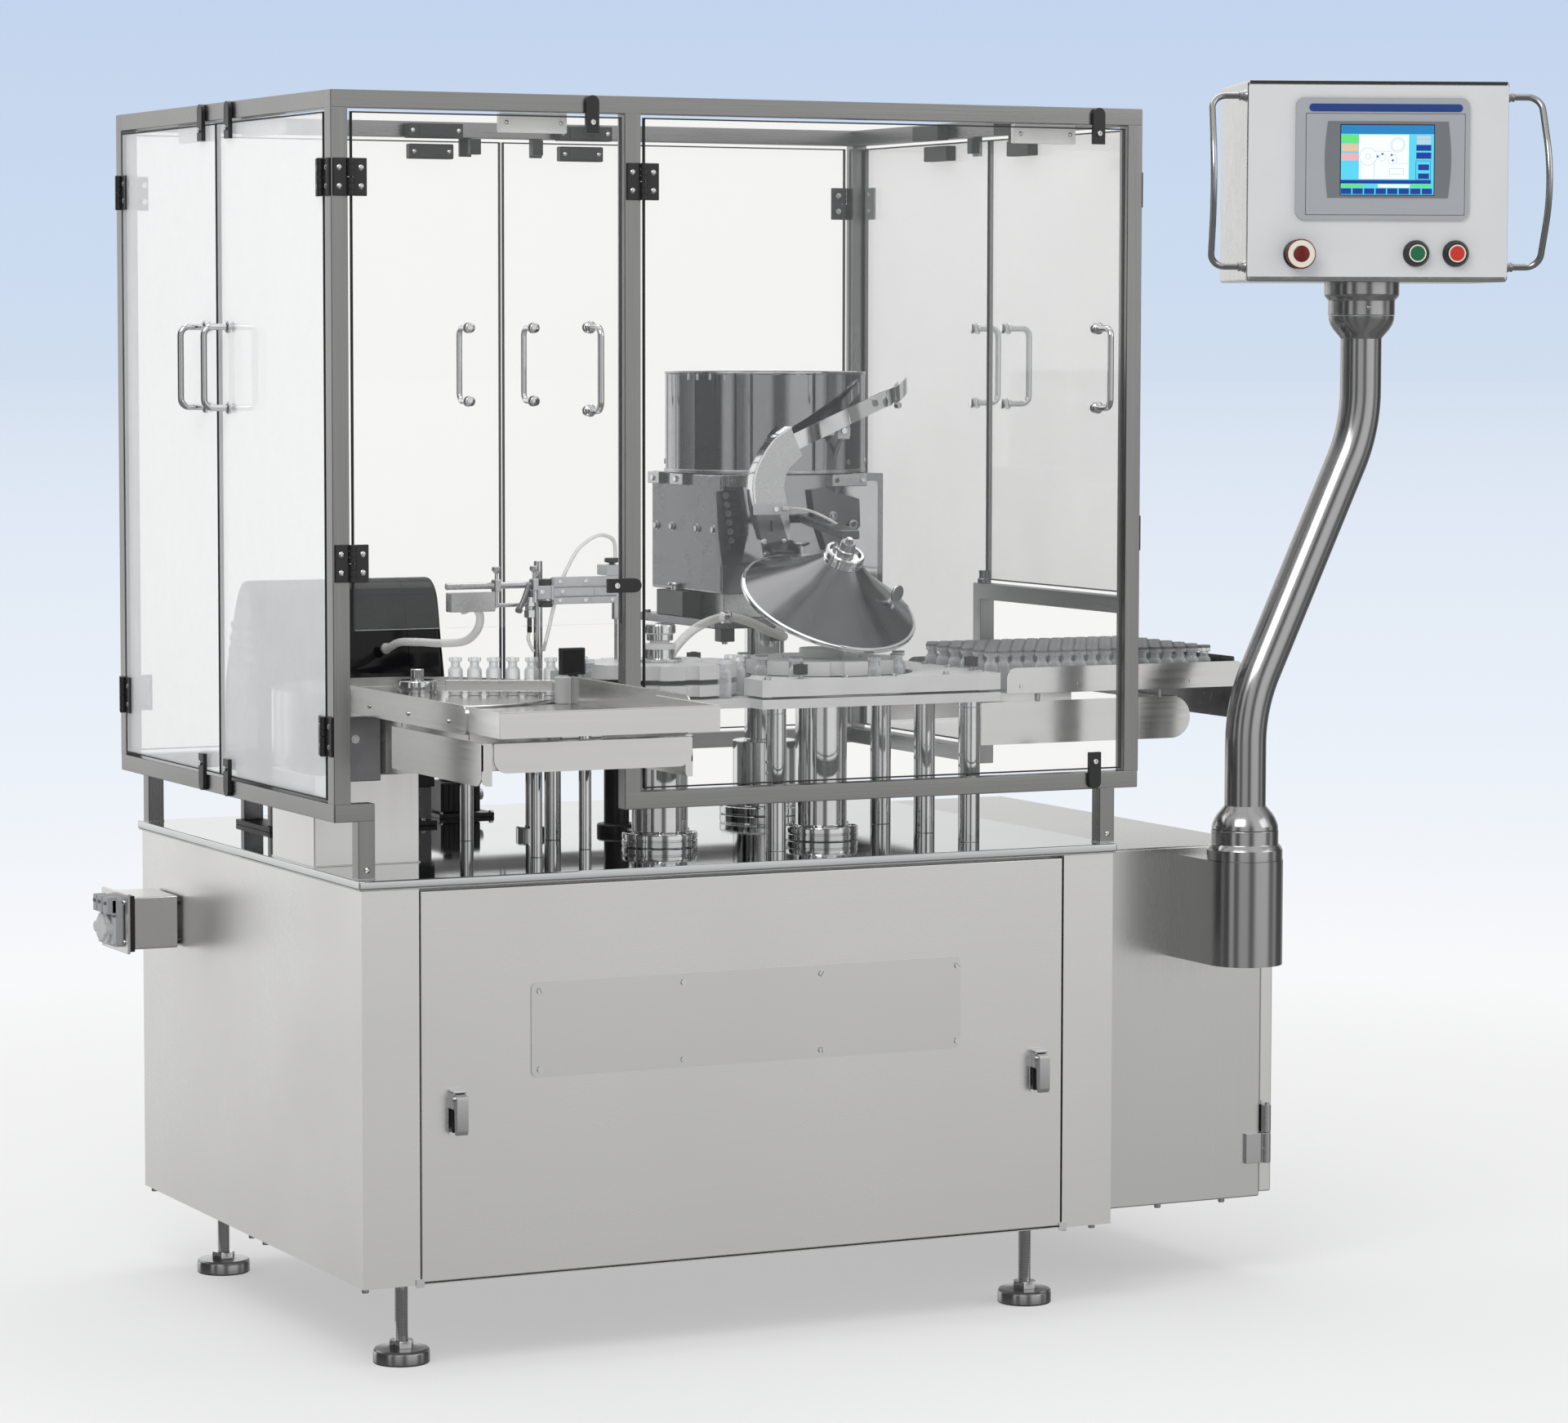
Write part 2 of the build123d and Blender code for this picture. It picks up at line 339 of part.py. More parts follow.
# ---------------------------------------------------------------- export
os.makedirs("parts", exist_ok=True)
lo = [1e9] * 3
hi = [-1e9] * 3
for name, shapes in parts.items():
    solids = []
    for s in shapes:
        solids.extend(s.solids())
    whole = Compound(children=[Pos(*SHIFT) * s for s in solids])
    b = whole.bounding_box()
    for i, (a, c) in enumerate(zip(tuple(b.min), tuple(b.max))):
        lo[i] = min(lo[i], a)
        hi[i] = max(hi[i], c)
    export_step(whole, f"parts/{name}.step")
print(len(parts), "nodes; box", [round(v, 4) for v in lo], [round(v, 4) for v in hi], "centre", round((lo[0] + hi[0]) / 2, 4), round((lo[1] + hi[1]) / 2, 4))
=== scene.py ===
import bpy
import bmesh
import math
import random
from mathutils import Matrix, Vector


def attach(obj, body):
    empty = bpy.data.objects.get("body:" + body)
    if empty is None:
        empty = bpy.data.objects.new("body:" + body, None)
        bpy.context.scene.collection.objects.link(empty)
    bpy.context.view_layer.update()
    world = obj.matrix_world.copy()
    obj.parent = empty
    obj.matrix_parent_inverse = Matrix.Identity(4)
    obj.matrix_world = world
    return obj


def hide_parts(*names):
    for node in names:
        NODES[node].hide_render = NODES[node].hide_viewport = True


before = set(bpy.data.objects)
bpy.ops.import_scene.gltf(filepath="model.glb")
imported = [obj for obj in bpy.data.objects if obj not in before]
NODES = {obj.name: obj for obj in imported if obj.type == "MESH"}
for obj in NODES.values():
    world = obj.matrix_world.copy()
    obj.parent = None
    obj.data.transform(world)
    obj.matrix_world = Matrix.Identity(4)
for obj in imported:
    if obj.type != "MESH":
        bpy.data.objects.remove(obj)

random.seed(7)
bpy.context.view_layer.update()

# Stations are written in the cabinet's millimetres, as the CAD has them, and moved
# to the shared frame in metres when a piece is made.
OX, OY, OZ = -878.0717, -335.4, 130.0


def mm(x, y, z):
    return Vector(((x + OX) / 1000.0, (y + OY) / 1000.0, (z + OZ) / 1000.0))


# ------------------------------------------------------------------ camera
scene = bpy.context.scene
scene.view_settings.view_transform = "Standard"
scene.view_settings.look = "None"
cam_data = bpy.data.cameras.new("camera")
cam = bpy.data.objects.new("camera", cam_data)
scene.collection.objects.link(cam)
yaw, pitch, roll = math.radians(26.097), math.radians(4.405), math.radians(0.097)
fwd = Vector((math.sin(yaw) * math.cos(pitch), math.cos(yaw) * math.cos(pitch), -math.sin(pitch)))
right = Vector((math.cos(yaw), -math.sin(yaw), 0))
up = right.cross(fwd)
r2 = right * math.cos(roll) + up * math.sin(roll)
u2 = up * math.cos(roll) - right * math.sin(roll)
rot = Matrix((r2, u2, -fwd)).transposed()
cam.matrix_world = Matrix.Translation((-3.3645307, -6.764183, 1.483142)) @ rot.to_4x4()
cam_data.sensor_width = 36.0
cam_data.lens = 112.545
cam_data.clip_start = 0.05
cam_data.clip_end = 400.0
scene.camera = cam
scene.cycles.transparent_max_bounces = 64
scene.cycles.max_bounces = 10
scene.cycles.glossy_bounces = 6


# ------------------------------------------------------------------ node helpers
def tree(mat):
    mat.use_nodes = True
    nt = mat.node_tree
    nt.nodes.clear()
    out = nt.nodes.new("ShaderNodeOutputMaterial")
    return nt, out


def node(nt, kind, **kw):
    n = nt.nodes.new(kind)
    for k, v in kw.items():
        if k in n.inputs:
            n.inputs[k].default_value = v
        else:
            setattr(n, k, v)
    return n


def mapping(nt, scale, offset=(0, 0, 0)):
    tc = nt.nodes.new("ShaderNodeTexCoord")
    mp = nt.nodes.new("ShaderNodeMapping")
    mp.inputs["Scale"].default_value = scale
    mp.inputs["Location"].default_value = offset
    nt.links.new(tc.outputs["Object"], mp.inputs["Vector"])
    return mp.outputs["Vector"]


def noise(nt, vec, scale, detail=4.0, rough=0.55):
    n = nt.nodes.new("ShaderNodeTexNoise")
    n.inputs["Scale"].default_value = scale
    n.inputs["Detail"].default_value = detail
    n.inputs["Roughness"].default_value = rough
    nt.links.new(vec, n.inputs["Vector"])
    return n.outputs["Fac"]


def ramp(nt, fac, stops, mode="LINEAR"):
    r = nt.nodes.new("ShaderNodeValToRGB")
    r.color_ramp.interpolation = mode
    els = r.color_ramp.elements
    while len(els) < len(stops):
        els.new(0.5)
    for e, (p, c) in zip(els, stops):
        e.position = p
        e.color = (c, c, c, 1) if not hasattr(c, "__len__") else (*c, 1)
    nt.links.new(fac, r.inputs["Fac"])
    return r.outputs["Color"]


def remap(nt, fac, a, b, lo=0.0, hi=1.0):
    n = nt.nodes.new("ShaderNodeMapRange")
    n.inputs["From Min"].default_value = lo
    n.inputs["From Max"].default_value = hi
    n.inputs["To Min"].default_value = a
    n.inputs["To Max"].default_value = b
    nt.links.new(fac, n.inputs["Value"])
    return n.outputs["Result"]


def math_node(nt, op, a, b=None):
    n = nt.nodes.new("ShaderNodeMath")
    n.operation = op
    for i, v in enumerate((a, b)):
        if v is None:
            continue
        if isinstance(v, (int, float)):
            n.inputs[i].default_value = v
        else:
            nt.links.new(v, n.inputs[i])
    return n.outputs[0]


def bump(nt, height, strength, distance, normal=None):
    b = nt.nodes.new("ShaderNodeBump")
    b.inputs["Strength"].default_value = strength
    b.inputs["Distance"].default_value = distance
    nt.links.new(height, b.inputs["Height"])
    if normal is not None:
        nt.links.new(normal, b.inputs["Normal"])
    return b.outputs["Normal"]


def brushed(name, base=(0.74, 0.735, 0.725), spread=0.014, rough=(0.27, 0.33), along="x", across=420.0, run=1.6, bumpy=0.014, aniso=0.0, cloud=0.03):
    """Brushed stainless sheet: fine streaks along one axis, a cloudy polish and a slow wave in the sheet."""
    mat = bpy.data.materials.new(name)
    nt, out = tree(mat)
    sc = {"x": (run, across, across), "y": (across, run, across), "z": (across, across, run)}[along]
    vec = mapping(nt, sc)
    streak = noise(nt, vec, 1.0, 5.0, 0.62)
    wide = noise(nt, mapping(nt, tuple(s * 0.16 for s in sc), (3, 5, 1)), 1.0, 2.0, 0.5)
    cl = noise(nt, mapping(nt, (1, 1, 1)), 2.4, 3.0, 0.5)
    s2 = math_node(nt, "ADD", math_node(nt, "MULTIPLY", streak, 0.7), math_node(nt, "MULTIPLY", wide, 0.3))
    dark = tuple(c * (1 - spread) for c in base)
    light = tuple(min(1.0, c * (1 + spread)) for c in base)
    col = ramp(nt, s2, [(0.34, dark), (0.66, light)])
    p = node(nt, "ShaderNodeBsdfPrincipled", Metallic=1.0)
    rg = math_node(nt, "ADD", remap(nt, s2, rough[0], rough[1], 0.3, 0.7), remap(nt, cl, -cloud, cloud, 0.3, 0.7))
    nt.links.new(col, p.inputs["Base Color"])
    nt.links.new(rg, p.inputs["Roughness"])
    n1 = bump(nt, cl, 0.06, 0.006)
    nt.links.new(bump(nt, streak, bumpy, 0.0006, n1), p.inputs["Normal"])
    nt.links.new(p.outputs[0], out.inputs["Surface"])
    mat.diffuse_color = (*base, 1)
    return mat


def polished(name, base=(0.62, 0.62, 0.62), rough=(0.03, 0.09), turn=0.0, scale=30.0):
    """Polished or turned metal with faint smudges; turn adds fine rings along Z."""
    mat = bpy.data.materials.new(name)
    nt, out = tree(mat)
    sm = noise(nt, mapping(nt, (1, 1, 1)), scale, 4.0, 0.6)
    p = node(nt, "ShaderNodeBsdfPrincipled", Metallic=1.0)
    nt.links.new(ramp(nt, sm, [(0.3, tuple(c * 0.93 for c in base)), (0.7, base)]), p.inputs["Base Color"])
    nt.links.new(remap(nt, sm, rough[0], rough[1], 0.3, 0.7), p.inputs["Roughness"])
    fine = noise(nt, mapping(nt, (4, 4, 900)), 1.0, 2.0, 0.5)
    nt.links.new(bump(nt, fine, 0.02 + turn, 0.0003), p.inputs["Normal"])
    nt.links.new(p.outputs[0], out.inputs["Surface"])
    mat.diffuse_color = (*base, 1)
    return mat


def plastic(name, base, rough=(0.35, 0.5), grain=900.0, depth=0.05, spec=0.5, vary=0.06):
    """Moulded or painted surface: fine grain, slight colour drift, uneven sheen."""
    mat = bpy.data.materials.new(name)
    nt, out = tree(mat)
    v = mapping(nt, (1, 1, 1))
    g = noise(nt, v, grain, 2.0, 0.5)
    c = noise(nt, v, 9.0, 4.0, 0.6)
    p = node(nt, "ShaderNodeBsdfPrincipled")
    p.inputs["Specular IOR Level"].default_value = spec
    nt.links.new(ramp(nt, c, [(0.3, tuple(x * (1 - vary) for x in base)), (0.7, tuple(min(1, x * (1 + vary)) for x in base))]), p.inputs["Base Color"])
    nt.links.new(remap(nt, c, rough[0], rough[1], 0.3, 0.7), p.inputs["Roughness"])
    nt.links.new(bump(nt, g, depth, 0.0004), p.inputs["Normal"])
    nt.links.new(p.outputs[0], out.inputs["Surface"])
    mat.diffuse_color = (*base, 1)
    return mat


def clear(name, base=(0.93, 0.95, 0.96), lo=0.018, hi=0.86, power=1.8, rough=0.03):
    """Clear sheet or glass: see-through face on, with more reflection at grazing angles."""
    mat = bpy.data.materials.new(name)
    nt, out = tree(mat)
    p = node(nt, "ShaderNodeBsdfPrincipled")
    sm = noise(nt, mapping(nt, (1, 1, 1)), 6.0, 4.0, 0.6)
    lw = nt.nodes.new("ShaderNodeLayerWeight")
    lw.inputs["Blend"].default_value = 0.5
    f = math_node(nt, "POWER", lw.outputs["Facing"], power)
    a = remap(nt, f, lo, hi)
    a = math_node(nt, "MULTIPLY", a, remap(nt, sm, 0.94, 1.06, 0.3, 0.7))
    nt.links.new(ramp(nt, sm, [(0.3, tuple(x * 0.97 for x in base)), (0.7, base)]), p.inputs["Base Color"])
    nt.links.new(remap(nt, sm, rough, rough * 2.2, 0.3, 0.7), p.inputs["Roughness"])
    p.inputs["Specular IOR Level"].default_value = 0.9
    nt.links.new(a, p.inputs["Alpha"])
    nt.links.new(p.outputs[0], out.inputs["Surface"])
    mat.diffuse_color = (*base, 0.3)
    return mat


def glow(name, col, strength=1.0):
    """Lit display ink: an even glow with a very fine pixel grid."""
    mat = bpy.data.materials.new(name)
    nt, out = tree(mat)
    g = noise(nt, mapping(nt, (1, 1, 1)), 1400.0, 1.0, 0.4)
    p = node(nt, "ShaderNodeBsdfPrincipled", Roughness=0.25)
    c = ramp(nt, g, [(0.35, tuple(x * 0.93 for x in col)), (0.65, col)])
    p.inputs["Base Color"].default_value = (*(x * 0.15 for x in col), 1)
    nt.links.new(c, p.inputs["Emission Color"])
    p.inputs["Emission Strength"].default_value = strength
    nt.links.new(p.outputs[0], out.inputs["Surface"])
    mat.diffuse_color = (*col, 1)
    return mat


# ------------------------------------------------------------------ materials
M = {
    "sheet_x": brushed("sheet_x", along="x"),
    "sheet_z": brushed("sheet_z", along="z"),
    "sheet_y": brushed("sheet_y", along="y"),
    "panel": brushed("panel", base=(0.71, 0.705, 0.695), along="x", rough=(0.26, 0.32)),
    "plate_label": brushed("plate_label", base=(0.64, 0.635, 0.625), along="x", rough=(0.2, 0.26), across=420.0),
    "ec": brushed("ec", base=(0.62, 0.617, 0.61), along="z"),
    "tray": brushed("tray", base=(0.64, 0.635, 0.625), along="x", rough=(0.14, 0.26), across=180.0),
    "tray_y": brushed("tray_y", base=(0.64, 0.635, 0.625), along="y", rough=(0.14, 0.26), across=180.0),
    "tube_x": brushed("tube_x", base=(0.27, 0.27, 0.267), spread=0.10, along="x", rough=(0.24, 0.34), across=620.0, run=6.0, bumpy=0.07),
    "tube_y": brushed("tube_y", base=(0.27, 0.27, 0.267), spread=0.10, along="y", rough=(0.24, 0.34), across=620.0, run=6.0, bumpy=0.07),
    "tube_z": brushed("tube_z", base=(0.27, 0.27, 0.267), spread=0.10, along="z", rough=(0.24, 0.34), across=620.0, run=6.0, bumpy=0.07),
    "arm_z": brushed("arm_z", base=(0.40, 0.40, 0.40), along="z", rough=(0.17, 0.23), across=420.0, run=3.0, bumpy=0.04),
    "term_steel": brushed("term_steel", base=(0.60, 0.60, 0.59), along="x", rough=(0.2, 0.32), across=300.0, run=3.0, bumpy=0.08),
    "ink_navy2": glow("ink_navy2", (0.02, 0.22, 0.50)),
    "mirror": polished("mirror", base=(0.56, 0.57, 0.575), rough=(0.03, 0.07), scale=7.0),
    "chrome": polished("chrome", base=(0.66, 0.66, 0.665), rough=(0.03, 0.08)),
    "bowl": polished("bowl", base=(0.29, 0.29, 0.298), rough=(0.03, 0.07), scale=9.0),
    "cover": polished("cover", base=(0.31, 0.31, 0.318), rough=(0.05, 0.12), scale=6.0),
    "turned": polished("turned", base=(0.38, 0.38, 0.385), rough=(0.16, 0.26), turn=0.25),
    "satin": polished("satin", base=(0.50, 0.50, 0.505), rough=(0.22, 0.34), turn=0.06),
    "dark_steel": polished("dark_steel", base=(0.16, 0.16, 0.165), rough=(0.18, 0.3), turn=0.05),
    "cone": polished("cone", base=(0.14, 0.14, 0.145), rough=(0.12, 0.22), turn=0.05),
    "black": plastic("black", (0.012, 0.012, 0.013), rough=(0.32, 0.45), depth=0.12),
    "gloss_black": plastic("gloss_black", (0.005, 0.0052, 0.006), rough=(0.04, 0.1), depth=0.01, grain=60.0, spec=0.22),
    "rubber": plastic("rubber", (0.02, 0.02, 0.02), rough=(0.55, 0.7), depth=0.1),
    "white": plastic("white", (0.66, 0.66, 0.655), rough=(0.3, 0.42), depth=0.03),
    "spacer": plastic("spacer", (0.78, 0.78, 0.77), rough=(0.35, 0.5), depth=0.05),
    "paint_white": plastic("paint_white", (0.66, 0.665, 0.665), rough=(0.18, 0.28), depth=0.02, vary=0.015),
    "paint_side": plastic("paint_side", (0.60, 0.60, 0.595), rough=(0.25, 0.4), depth=0.03, vary=0.02),
    "bezel": plastic("bezel", (0.36, 0.375, 0.395), rough=(0.42, 0.55), depth=0.08, vary=0.02),
    "surround": plastic("surround", (0.16, 0.17, 0.185), rough=(0.4, 0.52), depth=0.08, vary=0.03),
    "strip_blue": plastic("strip_blue", (0.012, 0.045, 0.21), rough=(0.3, 0.4), depth=0.03, vary=0.03),
    "grey": plastic("grey", (0.34, 0.35, 0.36), rough=(0.4, 0.55), depth=0.1),
    "light_grey": plastic("light_grey", (0.50, 0.51, 0.52), rough=(0.3, 0.45), depth=0.05),
    "red_dark": plastic("red_dark", (0.13, 0.006, 0.006), rough=(0.2, 0.3), depth=0.02),
    "red": plastic("red", (0.55, 0.03, 0.02), rough=(0.22, 0.32), depth=0.02),
    "green": plastic("green", (0.012, 0.13, 0.06), rough=(0.22, 0.32), depth=0.02),
    "ivory": plastic("ivory", (0.74, 0.70, 0.58), rough=(0.3, 0.4), depth=0.02),
    "stopper": plastic("stopper", (0.19, 0.195, 0.2), rough=(0.45, 0.6), depth=0.1),
    "pane": clear("pane"),
    # same clear sheet as pane with a darker base colour: painted shade for the far right-side doors
    "pane_far_shaded": clear("pane_far_shaded", base=(0.62, 0.63, 0.635)),
    "vial": clear("vial", base=(0.82, 0.85, 0.86), lo=0.16, hi=0.95, power=1.1, rough=0.05),
    "hose": clear("hose", base=(0.80, 0.80, 0.77), lo=0.42, hi=0.95, power=0.9, rough=0.18),
    "roller": clear("roller", base=(0.62, 0.62, 0.62), lo=0.72, hi=0.98, power=0.9, rough=0.2),
    "ink_cyan": glow("ink_cyan", (0.10, 0.62, 0.83)),
    "ink_navy": glow("ink_navy", (0.01, 0.05, 0.30)),
    "ink_green": glow("ink_green", (0.13, 0.72, 0.18)),
    "ink_tan": glow("ink_tan", (0.68, 0.52, 0.36)),
    "ink_pink": glow("ink_pink", (0.75, 0.42, 0.45)),
    "ink_white": glow("ink_white", (0.86, 0.90, 0.92)),
    "ink_line": glow("ink_line", (0.45, 0.62, 0.70)),
}

NODE_MAT = {
    "base_cabinet": "sheet_x", "front_access_panel": "panel", "name_plate": "plate_label", "panel_latches": "black",
    "table_plate": "mirror", "leveling_feet": "turned", "electrical_cabinet": "ec", "electrical_cabinet_door": "sheet_z",
    "disconnect_box": "sheet_y", "disconnect_switch": "grey", "guard_posts": "tube_z", "guard_upper_rails": "tube_x",
    "guard_lower_rails": "tube_x", "guard_legs": "tube_z", "fixed_hinge_leaves": "black", "interlock_switches": "black",
    "infeed_tray": "tray", "infeed_side_rails": "tray", "turntable_housing": "tray", "infeed_disc": "tray",
    "infeed_guides": "chrome", "infeed_pedestal": "sheet_z", "filling_pump": "gloss_black", "drive_columns": "chrome",
    "support_posts": "chrome", "starwheel": "white", "capping_dial": "white", "guide_plates": "white",
    "outfeed_tray": "tray", "stopper_bowl": "bowl", "bowl_drive_cover": "cover", "bowl_mount_plate": "satin",
    "stopper_chute": "satin", "stopper_cone": "cone", "cone_bracket": "satin", "filling_head": "satin",
    "arm_housing": "sheet_z", "terminal_arm": "sheet_z", "terminal_box": "paint_white", "operator_screen": "bezel",
    "push_buttons": "black", "terminal_handles": "chrome",
}
DOORS = ["front_left", "front_right", "left_front", "left_rear", "back_left", "back_right", "right_rear", "right_front"]
for d in DOORS:
    # the right-side doors take the darker pane copy, which is painted shade
    NODE_MAT[d + "_door"] = "pane_far_shaded" if d.startswith("right") else "pane"
    NODE_MAT[d + "_door_fittings"] = "black"
for name, ob in NODES.items():
    mat = M[NODE_MAT[name]]
    if not ob.material_slots:
        ob.data.materials.append(mat)
    for s in ob.material_slots:
        s.material = mat

# ------------------------------------------------------------------ studio
world = bpy.data.worlds.new("studio")
scene.world = world
world.use_nodes = True
wt = world.node_tree
wt.nodes.clear()
wout = wt.nodes.new("ShaderNodeOutputWorld")
wtc = wt.nodes.new("ShaderNodeTexCoord")
wsep = wt.nodes.new("ShaderNodeSeparateXYZ")
wt.links.new(wtc.outputs["Generated"], wsep.inputs[0])
lp = wt.nodes.new("ShaderNodeLightPath")
# what is seen directly: near white at the horizon, pale blue above
elev = remap(wt, wsep.outputs["Z"], 0.0, 1.0, -0.02, 0.5)
seen = ramp(wt, elev, [(0.0, (0.655, 0.738, 0.871)), (0.055, (0.610, 0.716, 0.871)), (0.17, (0.545, 0.665, 0.855)), (1.0, (0.45, 0.58, 0.80))])
behind = node(wt, "ShaderNodeMixRGB", blend_type="MIX")
wt.links.new(math_node(wt, "GREATER_THAN", lp.outputs["Transparent Depth"], 0.5), behind.inputs["Fac"])
wt.links.new(seen, behind.inputs["Color1"])
behind.inputs["Color2"].default_value = (0.92, 0.915, 0.90, 1)
# what lights and reflects: soft boxes and dark gaps round the studio, by direction
az = math_node(wt, "DIVIDE", math_node(wt, "ARCTAN2", wsep.outputs["Y"], wsep.outputs["X"]), 2 * math.pi)
az = math_node(wt, "FRACT", math_node(wt, "ADD", az, 1.0))


def deg(a):
    return (a % 360) / 360.0


band = ramp(wt, az, [(deg(0), 0.10), (deg(26), 0.11), (deg(33), 0.55), (deg(42), 0.60), (deg(48), 0.14), (deg(55), 0.6), (deg(67), 1.0), (deg(84), 1.0), (deg(92), 0.35),
                     (deg(99), 1.15), (deg(123), 1.15), (deg(130), 0.09), (deg(192), 0.07), (deg(197), 0.75), (deg(205), 0.75), (deg(210), 0.10), (deg(219), 0.12), (deg(226), 0.72),
                     (deg(250), 0.70), (deg(256), 0.16), (deg(266), 0.20), (deg(275), 0.95), (deg(312), 0.98), (deg(321), 0.22), (deg(333), 0.26), (deg(338), 0.62), (deg(345), 0.60),
                     (deg(352), 0.10)])
zz = wsep.outputs["Z"]
lit = node(wt, "ShaderNodeMixRGB", blend_type="MIX")
wt.links.new(remap(wt, zz, 0.0, 0.8, 0.35, 0.8), lit.inputs["Fac"])
wt.links.new(band, lit.inputs["Color1"])
lit.inputs["Color2"].default_value = (0.9, 0.9, 0.9, 1)
low = node(wt, "ShaderNodeMixRGB", blend_type="MIX")
wt.links.new(remap(wt, zz, 0.0, 0.85, -0.06, -0.30), low.inputs["Fac"])
wt.links.new(lit.outputs[0], low.inputs["Color1"])
low.inputs["Color2"].default_value = (0.20, 0.20, 0.20, 1)
soft = node(wt, "ShaderNodeMixRGB", blend_type="MIX")
wt.links.new(lp.outputs["Is Diffuse Ray"], soft.inputs["Fac"])
wt.links.new(low.outputs[0], soft.inputs["Color1"])
soft.inputs["Color2"].default_value = (0.52, 0.525, 0.53, 1)
pick = node(wt, "ShaderNodeMixRGB", blend_type="MIX")
wt.links.new(lp.outputs["Is Camera Ray"], pick.inputs["Fac"])
wt.links.new(soft.outputs[0], pick.inputs["Color1"])
wt.links.new(behind.outputs[0], pick.inputs["Color2"])
bg = wt.nodes.new("ShaderNodeBackground")
wt.links.new(pick.outputs[0], bg.inputs["Color"])
bg.inputs["Strength"].default_value = 1.0
wt.links.new(bg.outputs[0], wout.inputs["Surface"])


def area(name, loc, aim, size, power, col=(1, 1, 1)):
    d = bpy.data.lights.new(name, "AREA")
    d.shape = "RECTANGLE"
    d.size, d.size_y = size
    d.energy = power
    d.color = col
    o = bpy.data.objects.new(name, d)
    scene.collection.objects.link(o)
    o.location = loc
    o.rotation_euler = (Vector(aim) - Vector(loc)).to_track_quat("-Z", "Y").to_euler()
    o.visible_camera = False
    return o


area("key", (-3.2, -3.4, 4.6), (0, 0, 0.9), (3.2, 2.4), 120)
area("fill", (4.2, -3.6, 3.2), (0, 0, 0.8), (2.6, 2.6), 30)
area("top", (0.2, 1.0, 4.8), (0, 0, 0.6), (4.0, 3.0), 60)

floor_mesh = bpy.data.meshes.new("floor")
bmf = bmesh.new()
bmesh.ops.create_circle(bmf, cap_ends=True, segments=128, radius=150.0)
bmf.to_mesh(floor_mesh)
bmf.free()
floor = bpy.data.objects.new("floor", floor_mesh)
scene.collection.objects.link(floor)
fm = bpy.data.materials.new("floor")
nt, out = tree(fm)
geo = nt.nodes.new("ShaderNodeNewGeometry")
ln = nt.nodes.new("ShaderNodeVectorMath")
ln.operation = "LENGTH"
nt.links.new(geo.outputs["Position"], ln.inputs[0])
dist = ln.outputs["Value"]
lg = math_node(nt, "LOGARITHM", math_node(nt, "MAXIMUM", dist, 1.0), 10.0)
far_col = ramp(nt, remap(nt, lg, 0.0, 1.0, 0.40, 2.1), [(0.0, (0.965, 0.965, 0.965)), (0.10, (0.955, 0.957, 0.965)), (0.39, (0.815, 0.871, 0.945)), (0.69, (0.735, 0.805, 0.905)), (1.0, (0.66, 0.742, 0.871))])
fd = node(nt, "ShaderNodeBsdfDiffuse")
fn = noise(nt, mapping(nt, (1, 1, 1)), 1.2, 3.0, 0.5)
nt.links.new(ramp(nt, fn, [(0.3, (0.885, 0.885, 0.885)), (0.7, (0.90, 0.90, 0.90))]), fd.inputs["Color"])
fe = node(nt, "ShaderNodeEmission", Strength=1.0)
flp = nt.nodes.new("ShaderNodeLightPath")
fwhite = node(nt, "ShaderNodeMixRGB", blend_type="MIX")
nt.links.new(math_node(nt, "GREATER_THAN", flp.outputs["Transparent Depth"], 0.5), fwhite.inputs["Fac"])
nt.links.new(far_col, fwhite.inputs["Color1"])
fwhite.inputs["Color2"].default_value = (0.93, 0.925, 0.91, 1)
nt.links.new(fwhite.outputs[0], fe.inputs["Color"])
fmix = nt.nodes.new("ShaderNodeMixShader")
nt.links.new(remap(nt, dist, 0.42, 1.0, 1.2, 4.0), fmix.inputs["Fac"])
nt.links.new(fd.outputs[0], fmix.inputs[1])
nt.links.new(fe.outputs[0], fmix.inputs[2])
fclear = nt.nodes.new("ShaderNodeBsdfTransparent")
fsel = nt.nodes.new("ShaderNodeMixShader")
nt.links.new(flp.outputs["Is Glossy Ray"], fsel.inputs["Fac"])
nt.links.new(fmix.outputs[0], fsel.inputs[1])
nt.links.new(fclear.outputs[0], fsel.inputs[2])
nt.links.new(fsel.outputs[0], out.inputs["Surface"])
floor_mesh.materials.append(fm)

# ------------------------------------------------------------------ mesh kit
def frame_of(c, d, x=None):
    z = Vector(d).normalized()
    ref = Vector(x) if x is not None else (Vector((0, 0, 1)) if abs(z.z) < 0.9 else Vector((1, 0, 0)))
    xa = (ref - z * ref.dot(z)).normalized()
    m = Matrix((xa, z.cross(xa), z)).transposed().to_4x4()
    m.translation = Vector(c)
    return m


def rrect(x0, x1, z0, z1, r, n=5):
    """Outline of a rectangle with rounded corners; r is one radius or four (bottom left, bottom right, top right, top left)."""
    rs = (r,) * 4 if isinstance(r, (int, float)) else r
    pts = []
    for (cx, cz, a0), q in zip(((x0, z0, 180), (x1, z0, 270), (x1, z1, 0), (x0, z1, 90)), rs):
        sx = 1 if cx == x0 else -1
        sz = 1 if cz == z0 else -1
        if q <= 0:
            pts.append((cx, cz))
            continue
        for k in range(n + 1):
            a = math.radians(a0 + 90.0 * k / n)
            pts.append((cx + sx * q + q * math.cos(a), cz + sz * q + q * math.sin(a)))
    return pts


